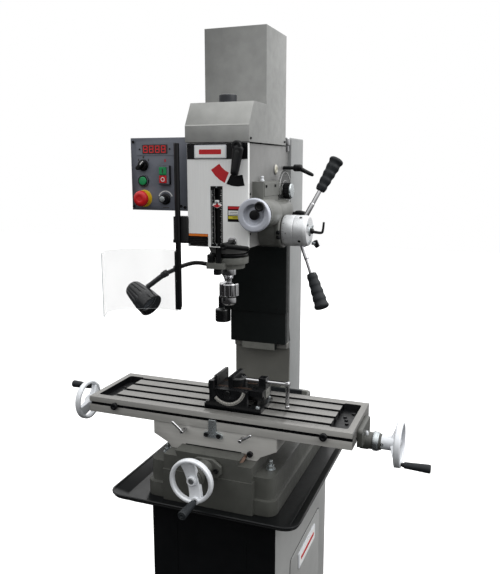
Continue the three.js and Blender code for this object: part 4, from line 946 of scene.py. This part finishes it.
# ---------------------------------------------------------------- drawbar cap, quill, chuck
def fluted(name, profile, count, depth, low, high, mat, body, u, v, sides=144):
    """A solid of revolution about a vertical line, with grooves cut along it between two heights."""
    bm = bmesh.new()
    rings = []
    for r, z in rounded(to_axis(profile), 0.9, closed=False):
        if r < 1e-6:
            rings.append([bm.verts.new(place("z", u, v, z))])
            continue
        ring = []
        for i in range(sides):
            a = math.tau * i / sides
            cut = depth * max(0.0, math.cos(a * count)) ** 3 if low <= z <= high else 0.0
            ring.append(bm.verts.new(place("z", u + (r - cut) * math.cos(a), v + (r - cut) * math.sin(a),
                z)))
        rings.append(ring)
    for a, b in zip(rings, rings[1:]):
        for i in range(sides):
            j = (i + 1) % sides
            corners = list(dict.fromkeys([a[i % len(a)], a[j % len(a)], b[j % len(b)], b[i % len(b)]]))
            if len(corners) > 2:
                bm.faces.new(corners)
    return solid_object(name, bm, mat, body)


lathe("drawbar_cap", "z", [[24.6, 1897.6], [25, 1899], [25, 1919], [23, 1922.4], [19, 1923]], CAP, "head",
    *SPINDLE, corner=1.6, sides=80)
refined("quill", STEEL, 0.6, 2)


def clamp_faces(centre, normal):
    """Black for the depth rod and the two knobs on it."""
    if centre.y < -213.5 and centre.z > 1456 and -7 < centre.x < 4:
        return 1
    above = centre.z > 1455 and math.hypot(centre.x + 31, centre.y + 211) < 11
    below = centre.z < 1436.5 and math.hypot(centre.x + 14, centre.y + 204) < 11
    return 1 if above or below else 0


refined("depth_stop_clamp", CLAMP, 1.8, 3, clamp_faces, (BLACK,))
block("depth_bar", (-6.5, 3.5), (-221.5, -213.5), (1454.5, 1612), BLACK, "quill", 0.8)
fluted("clamp_knob", [[9.5, 1418.5], [11, 1420.5], [11, 1433], [9, 1435], [0, 1436.5]], 16, 1.1, 1419, 1434,
    BLACK, "quill", -14, -204)
fluted("depth_nut", [[9, 1455], [10.6, 1457], [10.6, 1475], [9, 1477.5], [0, 1478]], 14, 1.0, 1456, 1476,
    BLACK, "quill", -31, -211)
thread = [[0, 1453]] + [[4.6 if k % 2 else 3.6, 1453.5 + 1.1 * k] for k in range(52)] + [[0, 1512]]
lathe("depth_rod", "z", thread, BLACK, "quill", -8, -217, corner=0, sides=24)
# A black ring in the gap between the head's flange and the depth stop clamp; its black is partly the ring's
# own and partly painted shade of the gap.
lathe("head_collar_ring", "z", [[40, 1468.6], [54, 1468.6], [56.5, 1471], [56.5, 1476], [53, 1478.8],
    [40, 1478.8], [40, 1468.6]], BLACK, "head", *SPINDLE, corner=1.2, sides=80)
nose = lathe("spindle_nose", "z", [[8.4, 1392], [8.6, 1400], [13, 1401.5], [19.5, 1411], [21.2, 1412.5],
    [21.2, 1433], [15, 1434.4], [15, 1500], [14, 1502], [14, 1850]], CHROME, "spindle", *SPINDLE,
    corner=0.7, sides=72)
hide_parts("spindle")
chuck = fluted("chuck_sleeve", [[26.6, 1348], [29, 1350.6], [29, 1384], [27.4, 1387.4], [17, 1390.6],
    [10, 1391.7]], 12, 3.0, 1351, 1384, CHROME, "spindle", *SPINDLE)
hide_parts("drill_chuck")
lathe("chuck_band", "z", rod(25.4, 1345.2, 1348.6), INK_AND_SHADE, "spindle", *SPINDLE)
lathe("chuck_body", "z", [[5, 1321.5], [9, 1321], [16, 1321], [20.8, 1326.5], [21.4, 1330], [21.4, 1345.6]],
    CHROME, "spindle", *SPINDLE, corner=1.4, sides=72)
# Three dark discs where the chuck key holes are: painted shade in the holes.
for k in range(3):
    a = math.radians(250 + 120 * k)
    aim = Vector((math.cos(a), math.sin(a), 0))
    hole = lathe("chuck_key_hole_%d" % k, "z", rod(3, 0, 0.8), INK_AND_SHADE, "spindle", sides=20)
    moved(hole, aimed(Vector((*SPINDLE, 1338)) + aim * 21.0, aim))


# ---------------------------------------------------------------- capstan and fine feed
cy, cz = CAPSTAN
lathe("capstan_index_ring", "x", [[7, 152.6], [7, 156], [43.4, 156], [44.7, 157.4], [44.7, 188],
    [43.4, 189]], HUB, "capstan", cy, cz, corner=0.5, sides=112)
ring_marks("capstan_index_marks", "x", (cy, cz), 44.7, (158, 164), 60, 0.8, 6, INK_AND_SHADE, "capstan")
hub = lathe("capstan_hub_body", "x", [[43.6, 189], [44.7, 190.2], [44.7, 220], [41, 228.2], [38, 229]], HUB,
    "capstan", cy, cz, corner=1.6, sides=112)
# Dark discs for the sockets in the capstan hub: painted shade in the holes.
for k, angle in enumerate((119, 186, 217)):
    a = math.radians(angle)
    aim = Vector((0, math.cos(a), math.sin(a)))
    size, x = (1.6, 170) if k == 1 else (4.4, 208)
    hole = lathe("capstan_socket_%d" % k, "z", rod(size, -1, 0.35), INK_AND_SHADE, "capstan", sides=24)
    moved(hole, aimed(Vector((x, cy, cz)) + aim * 44.7, aim))
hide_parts("capstan_hub")
for k, angle in enumerate((20, 140, 260)):
    lathe("capstan_face_bolt_%d" % k, "x", [[4.6, 228.8], [4.6, 231.4], [2.2, 231.4], [2.2, 230]], ZINC,
        "capstan", *around(CAPSTAN, 31, math.radians(angle)), sides=24)
lathe("capstan_face_ring", "x", [[14, 228.9], [14, 231], [11, 232.4]], ZINC, "capstan", cy, cz, sides=48)
lean = math.radians(23)
for tag, angle in (("upper", 68.3), ("lower", 254)):
    a = math.radians(angle)
    aim = Vector((math.sin(lean), math.cos(lean) * math.cos(a), math.cos(lean) * math.sin(a)))
    start = Vector((193.3, cy, cz)) + aim * 40
    slanted("capstan_rod_" + tag, start, aim, [[7.0, 0], [7.0, 47], [6.0, 50], [6.0, 96]], CHROME,
        "capstan", 0.8, 36)
    profile = [[12.6, 92], [13.6, 94]]
    for i in range(4):
        s = 94 + 21.5 * i
        base = 13.6 + 1.25 * i
        profile += [[base + 1.6, s + 6], [base + 2.2, s + 11], [base + 0.4, s + 18]]
    profile += [[18.4, 181], [21.0, 187], [21.4, 190], [19.6, 194.6], [14, 197.4], [0, 198.4]]
    grip_piece = slanted("capstan_grip_" + tag, start, aim, profile, RUBBER, "capstan", 3.0, 56)
    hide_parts("capstan_handle_" + tag)
lever = sweep("engage_lever_bar", [(231, cy, cz), (246, cy + 1, cz - 3), (262, cy + 5, cz - 4),
    (266, cy + 6, cz + 4), (268, cy + 7, cz + 26)], lambda t: 4.6 - 1.6 * t, BLACK, "engage")
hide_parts("engage_lever")
lathe("engage_lever_boss", "x", [[8, 229.4], [8, 238], [6, 240.5], [0, 241]], BLACK, "engage", cy, cz,
    sides=36)
lever_arm("wing_knob", (233, -63, 1512), (244, -61, 1492), lambda t: end_round(t, 9, 6.5), 4.0, BLACK,
    "capstan", (0, 1, 0))
slanted("wing_knob_stem", (226, -63, 1504), (1, 0, 0), rod(5, 0, 11), ZINC, "capstan", 0.5, 24)

fx, fz = FINE_FEED
wheel = lathe("fine_feed_dish", "y", [[19, -267], [21, -266.4], [27, -272], [28.5, -278.6], [30.5, -280],
    [42.5, -280.3], [45.2, -277.5], [45.4, -266.5], [43, -262], [36, -259.5], [22, -254], [19, -248]], FEED,
    "fine_feed", fx, fz, corner=2.0, sides=112, steps=4)
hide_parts("fine_feed_wheel")
lathe("fine_feed_cap", "y", [[13.4, -266], [13.4, -275], [11.6, -277.4], [0, -278]], BLACK, "fine_feed", fx,
    fz, corner=1.2, sides=56)
profile = [[6.4, 0], [6.8, 6], [12.6, 10], [13.4, 20], [12.2, 23], [8.2, 23.6], [7.4, 21.8]]
knob = fluted("fine_feed_knob", profile, 14, 1.2, 9, 21, BLACK, "fine_feed", 0, 0, 112)
moved(knob,
    Matrix.Translation(Vector((fx + 22, -274, fz + 24)) * MM) @ Matrix.Rotation(math.pi / 2, 4, "X"))


# ---------------------------------------------------------------- control box
refined("control_box", BOX, 2.0)
for k, (x, z) in enumerate(((-273.5, 1794), (-277, 1609), (-122, 1612), (-109.5, 1609))):
    cap_screw("box_screw_%d" % k, "y", x, z, -209.8, -1, 4.2, "head", BLACK, 2.4)
prism("display_surround", "y", rect(-263, -138, 1756, 1794), -211.2, -209.9, BOXLABEL, "head", 2, 0.3)
prism("display_window", "y", rect(-243, -162, 1760, 1786), -212.0, -211.0, DISPLAY, "head", 1)
for x in (-252, -155):
    cap_screw("display_screw_%d" % abs(x), "y", x, 1773, -211.0, -1, 2.6, "head", BLACK, 1.6)
digits = []
for k in range(4):
    x, z, w, h, t = -240 + 19.4 * k, 1763, 14, 20, 2.3
    digits += [(x, x + w, z, z + t), (x, x + w, z + h / 2 - t / 2, z + h / 2 + t / 2),
        (x, x + w, z + h - t, z + h)]
    digits += [(x + s, x + s + t, z + v + 0.6, z + v + h / 2 - 0.6) for s in (0, w - t) for v in (0, h / 2)]
marks("display_digits", "y", digits, -212.5, -211.9, LED, "head")
marks("selector_marks", "y", [(-259, -256, 1740, 1746), (-244, -239, 1748, 1753), (-227, -224, 1740, 1746)],
    -210.5, -209.9, CHROME_DARK, "head")
marks("panel_mark", "y", [(-173, -169, 1737, 1745)], -210.5, -209.9, RED_INK, "head")

skirt = lathe("selector_skirt", "y", [[16.8, -210.3], [16.8, -213.4], [15, -215]], BLACK, "selector",
    *SELECTOR, sides=56)
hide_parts("selector_knob")
lathe("selector_drum", "y", [[13.4, -214], [12.8, -222.5], [11.8, -223.6]], PLASTIC, "selector", *SELECTOR,
    sides=48)
turned = Matrix.Rotation(math.radians(-45), 4, "Y")
turned = Matrix.Translation(Vector((SELECTOR[0], 0, SELECTOR[1])) * MM) @ turned
moved(prism("selector_bar", "y", rect(-17, 17, -5.5, 5.5), -234, -214, BLACK, "selector", 5, 1.2), turned)
moved(prism("selector_line", "y", rect(2, 16, -1.6, 1.6), -234.5, -233.8, WHITE, "selector", 0.5), turned)

lathe("start_bezel", "y", [[12.8, -209.8], [17.4, -209.8], [17.4, -214], [15.6, -216.4], [12.8, -216.4],
    [12.8, -209.8]], BLACK, "head", *START, corner=0.6, sides=56)
start = lathe("start_cap", "y", [[12, -206], [12, -217.6], [10.6, -219.2], [0, -219.6]], GREEN, "start",
    *START, corner=1.0, sides=48)
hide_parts("start_button")
lathe("estop_disc", "y", [[25, -209.9], [25, -211.6], [24, -212.2]], YELLOW, "head", *ESTOP, sides=72)
lathe("estop_collar", "y", [[9, -211], [15.4, -211], [15.4, -217.6], [13, -218.6], [9, -218.6], [9, -211]],
    YELLOW, "head", *ESTOP, sides=48)
mushroom = lathe("estop_head", "y", [[8, -208], [8, -225], [19.6, -225], [22.6, -227.4], [22.8, -232.4],
    [21.2, -237.6], [15, -241.4], [9, -241.6], [8, -240.8]], RED, "estop", *ESTOP, corner=1.8, sides=72,
    steps=4)
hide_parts("estop_button")
block("switch_bezel", (-189, -153), (-219, -209.8), (1673, 1727), BLACK, "head", 1.6, 2, "y")
for name, z0, z1, mat in (("on", 1701, 1722, GREEN), ("off", 1677.5, 1698.5, RED)):
    cap = block("switch_%s_cap" % name, (-184, -161), (-224.8, -206), (z0, z1), mat, name, 1.2, 1.2, "y")
    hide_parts("switch_" + name)
block("switch_on_bar", (-174.2, -170.8), (-225.2, -224.4), (1705, 1718), CHROME_DARK, "on", 0.2)
plate_ring("switch_off_ring", "y", (-172.5, 1688), 4.2, 6.4, -225.2, -224.4, WHITE, "off", sides=48)

lathe("speed_skirt", "y", [[16.2, -210.3], [16.2, -213.6], [12.6, -216]], BLACK, "speed", *SPEED, sides=56)
speed = lathe("speed_drum", "y", [[12.2, -214], [11.2, -230], [9.8, -233]], PLASTIC, "speed", *SPEED,
    sides=48)
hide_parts("speed_knob")
lathe("speed_face", "y", [[8.6, -232.6], [8.0, -234.2], [0, -234.4]], ZINC, "speed", *SPEED, sides=40)
plate_ring("speed_scale", "y", SPEED, 21, 24, -210.5, -209.9, WHITE, "head", arc=(20, 160))
marks("speed_rule", "y", [(-181, -163, 1606, 1608)], -210.5, -209.9, CHROME_DARK, "head")


# ---------------------------------------------------------------- guard
refined("guard_holder", BLACK, 2.0)
refined("guard_post", BLACK, 0.8, 2)
PLAN = [(-133, -226), (-160, -219), (-204, -218), (-246, -231), (-290, -262), (-314, -290), (-316, -314),
    (-306, -336), (-291, -370)]
curve = [Vector((p.x, p.y)) for p in smooth_path([(x, y, 0) for x, y in PLAN], 6)]
near, far = [], []
for i, p in enumerate(curve):
    along = (curve[min(i + 1, len(curve) - 1)] - curve[max(i - 1, 0)]).normalized()
    across = Vector((-along.y, along.x)) * 1.1
    near.append(tuple(p + across))
    far.insert(0, tuple(p - across))
sheet = prism("guard_sheet", "z", near + far, 1307, 1488, GUARD, "shield", sharp=60)
sheet.data.materials.append(GUARD_EDGE)
for face in sheet.data.polygons:
    ends_z = abs(face.normal.z) > 0.9
    short = len(face.vertices) == 4 and abs(face.normal.z) < 0.5 and face.area < 0.0005
    face.material_index = 1 if ends_z or short else 0
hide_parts("guard_shield")
block("guard_clamp", (-137, -121), (-231.5, -222), (1312, 1484), BLACK, "shield", 1.0)
for z in (1340, 1398, 1456):
    cap_screw("guard_clamp_screw_%d" % z, "y", -129, z, -231.3, -1, 3.4, "shield", ZINC, 2)


# ---------------------------------------------------------------- lamp
stand = lathe("lamp_foot", "z", [[23, 1206], [25, 1208], [25, 1246], [23, 1250], [14.4, 1252], [14, 1256],
    [14, 1291], [10, 1297], [0, 1298]], LAMP, "head", -126, 95, corner=1.6)
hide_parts("lamp_stand")
block("lamp_clip", (-116, -98.5), (86, 101), (1208, 1298), LAMP, "head", 1.6)
NECK = [(-126, 95, 1290), (-116, 93, 1318), (-105, 82, 1348), (-107, 66, 1374), (-121, 45, 1396),
    (-145, 20, 1411), (-176, -15, 1419), (-206, -50, 1411), (-222, -66, 1402), (-243, -82, 1391.5)]
sweep("lamp_neck", NECK, lambda t: 6.9 + 0.5 * math.cos(t * 520), LAMP, "head", steps=60, sides=20)
for k, (centre, aim) in enumerate((((-214, -58, 1407.5), (-18, -18, -9)), ((-240, -80, 1393.5),
        (-21, -16, -10)))):
    slanted("lamp_collar_%d" % k, centre, aim, [[10.2, 0], [11, 2], [11, 11], [9.6, 13]], LAMP, "head", 0.8)
slanted("lamp_link", (-249, -86.5, 1388.5), (-53, -23, -43.5), [[10.5, 0], [10.5, 6], [8.4, 9], [8.0, 60],
    [9, 68], [0, 70]], LAMP, "lamp", 1.0, 36)
shade_at = aimed((-359, -108, 1346), (79.5, -21, -48.5))
SHADE = [[0, 0.6], [14, 0.4], [21, 2.6], [26, 8], [29, 18], [31.5, 32], [35.6, 56], [38, 70], [38.6, 76],
    [38.6, 102], [37.6, 104], [35.6, 104], [35.2, 96], [34, 76], [30, 70], [0, 69]]
shade = moved(fluted("lamp_shade", SHADE, 14, 3.2, 7, 66, LAMP, "lamp", 0, 0, 160), shade_at)
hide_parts("lamp_head")
moved(lathe("lamp_lens", "z", [[0, 84], [12, 84.6], [34.6, 82], [34.6, 79]], LENS, "lamp"), shade_at)
moved(lathe("lamp_bezel", "z", [[35.2, 98], [39.6, 98], [39.6, 103], [38, 104.6], [35.2, 104.6],
    [35.2, 98]], LAMP, "lamp", sides=80), shade_at)
moved(lathe("lamp_lens_ring", "z", rim(30.5, 33, 84, 87), STEEL, "lamp", corner=0.5), shade_at)
moved(block("lamp_switch", (-5, 5), (-41, -34), (78, 92), PLASTIC, "lamp", 1.0), shade_at)


# ---------------------------------------------------------------- vise
refined("vise_base", VISE, 2.0)
refined("vise_body", VISE, 1.6)
refined("vise_jaw", VISE, 1.8)
VX, VZ = 28, 1097
plate_ring("vise_degree_arc", "y", (VX, VZ), 47.5, 57, -237.0, -236.0, SCALE, "table", arc=(222, 346))
bm = bmesh.new()
for k in range(63):
    a = math.radians(222 + 2 * k)
    inner = 49.5 if k % 5 == 0 else 52.5
    half = 0.4 / 55
    outline = [(VX + r * math.cos(t), VZ + r * math.sin(t)) for r, t in ((inner, a - half),
        (inner, a + half), (56.2, a + half), (56.2, a - half))]
    prism_into(bm, "y", outline, -237.3, -236.9)
solid_object("vise_degree_ticks", bm, INK_AND_SHADE, "table")
plate_ring("vise_disc_lip", "y", (VX, VZ), 38.5, 44, -236.4, -233.4, VISE, "vise_tilter", arc=(196, 344))
lathe("vise_pivot", "y", [[7, -236], [7, -238.4], [5.4, -239.4]], VISE, "vise_tilter", VX, 1078, sides=32)
block("vise_fixed_plate", (-16.4, -14.2), (-210, -124), (1091, 1118), JAW, "vise_tilter", 0.5, 1.0, "x")
block("vise_moving_plate", (19.7, 21.2), (-210, -125), (1091, 1118), JAW, "vise_slider", 0.5, 1.0, "x")
for k, y in enumerate((-196, -138)):
    lathe("vise_plate_screw_%d" % k, "x", rod(3.6, -14.6, -13.8), INK_AND_SHADE, "vise_tilter", y, 1104, sides=20)
for side, y in (("front", -203), ("rear", -153)):
    block("vise_slide_way_" + side, (-14, 90), (y - 5, y + 5), (1085.6, 1087.3), BRONZE, "vise_tilter", 0.4)
block("vise_end_plate", (128.6, 130.6), (-190, -158), (1060, 1084), CLAMP, "vise_tilter", 0.6, 2, "x")
lathe("vise_end_dot", "x", rod(2.4, 130.2, 131), INK_AND_SHADE, "vise_tilter", -172, 1072, sides=20)
screw = lathe("vise_spindle_bar", "x", [[9.5, 50], [9.5, 58], [6.2, 60], [6.2, 186], [7.5, 188], [7.5, 198],
    [6, 199.4]], CHROME, "vise_spindle", -178, 1106, sides=48)
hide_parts("vise_screw")
lathe("vise_handle", "z", [[6.6, 1033], [7.2, 1035], [7.2, 1040], [5.8, 1042], [5.8, 1104], [7, 1107],
    [7, 1112], [5, 1114]], CHROME, "vise_spindle", 192, -178, sides=40)
block("vise_nut_cap", (107.4, 130.4), (-192, -164), (1112, 1119), VISE, "vise_tilter", 1.4)
for k, (x, y) in enumerate(((-38, -228), (118, -228), (118, -131), (-38, -131))):
    lathe("vise_foot_bolt_%d" % k, "z", [[6.4, 1039.6], [6.4, 1045.4], [3, 1045.4], [3, 1043]],
        VISE if k < 1 else ZINC, "table", x, y, sides=28)


# ---------------------------------------------------------------- floor, light and camera
SKY_AXIS = (0.22, 0.3, 1.55)  # towards the brightest part of the sky
SKY_BASE, SKY_SLOPE, SKY_LEAST = 0.42, 1.594, 0.03


def stage_world():
    """White behind the object, and a soft gradient that lights it, brightest from above."""
    world = bpy.data.worlds.new("studio")
    bpy.context.scene.world = world
    world.use_nodes = True
    tree = world.node_tree
    tree.nodes.clear()
    seen = node(tree, "Background", {"Color": (1, 1, 1, 1)})
    coords = node(tree, "TexCoord", {}).outputs["Generated"]
    along = node(tree, "VectorMath", {0: coords, 1: Vector(SKY_AXIS).normalized()}, operation="DOT_PRODUCT")
    slope = node(tree, "Math", {0: along.outputs["Value"], 1: SKY_SLOPE, 2: SKY_BASE},
        operation="MULTIPLY_ADD")
    level = node(tree, "Math", {0: slope.outputs["Value"], 1: SKY_LEAST}, operation="MAXIMUM")
    lit = node(tree, "Background", {"Color": (1, 1, 1, 1), "Strength": level.outputs["Value"]})
    camera_ray = node(tree, "LightPath", {}).outputs["Is Camera Ray"]
    mix = node(tree, "MixShader", {0: camera_ray, 1: lit.outputs["Background"],
        2: seen.outputs["Background"]})
    node(tree, "OutputWorld", {"Surface": mix.outputs["Shader"]})


def area_light(name, spot, aim, size, power):
    data = bpy.data.lights.new(name, "AREA")
    data.shape = "RECTANGLE"
    data.size, data.size_y = size
    data.energy = power
    o = bpy.data.objects.new(name, data)
    o.location = spot
    o.rotation_euler = (Vector(aim) - Vector(spot)).to_track_quat("-Z", "Y").to_euler()
    bpy.context.scene.collection.objects.link(o)


stage_world()
area_light("key", (2.6, -0.4, 3.2), (0, -0.1, 1.2), (2.2, 2.2), 30)
area_light("fill", (-1.6, -2.8, 2.6), (0, -0.1, 1.2), (2.0, 2.6), 4)

bm = bmesh.new()
bmesh.ops.create_grid(bm, x_segments=2, y_segments=2, size=12)
floor_mesh = bpy.data.meshes.new("floor")
bm.to_mesh(floor_mesh)
bm.free()
floor_mesh.materials.append(FLOOR)
floor = bpy.data.objects.new("floor", floor_mesh)
floor.location.z = -0.0005
floor.visible_diffuse = False
floor.visible_glossy = False
bpy.context.scene.collection.objects.link(floor)

camera_data = bpy.data.cameras.new("camera")
camera_data.sensor_width = 36
camera_data.lens = 40.63
camera_data.dof.use_dof = False
camera_data.clip_end = 60
camera = bpy.data.objects.new("camera", camera_data)
camera.location = (0.7205, -1.8892, 1.7220)
camera.rotation_euler = (math.radians(90 - 10.471), 0, math.radians(20.635))
bpy.context.scene.collection.objects.link(camera)
bpy.context.scene.camera = camera
bpy.context.scene.view_settings.view_transform = "Standard"
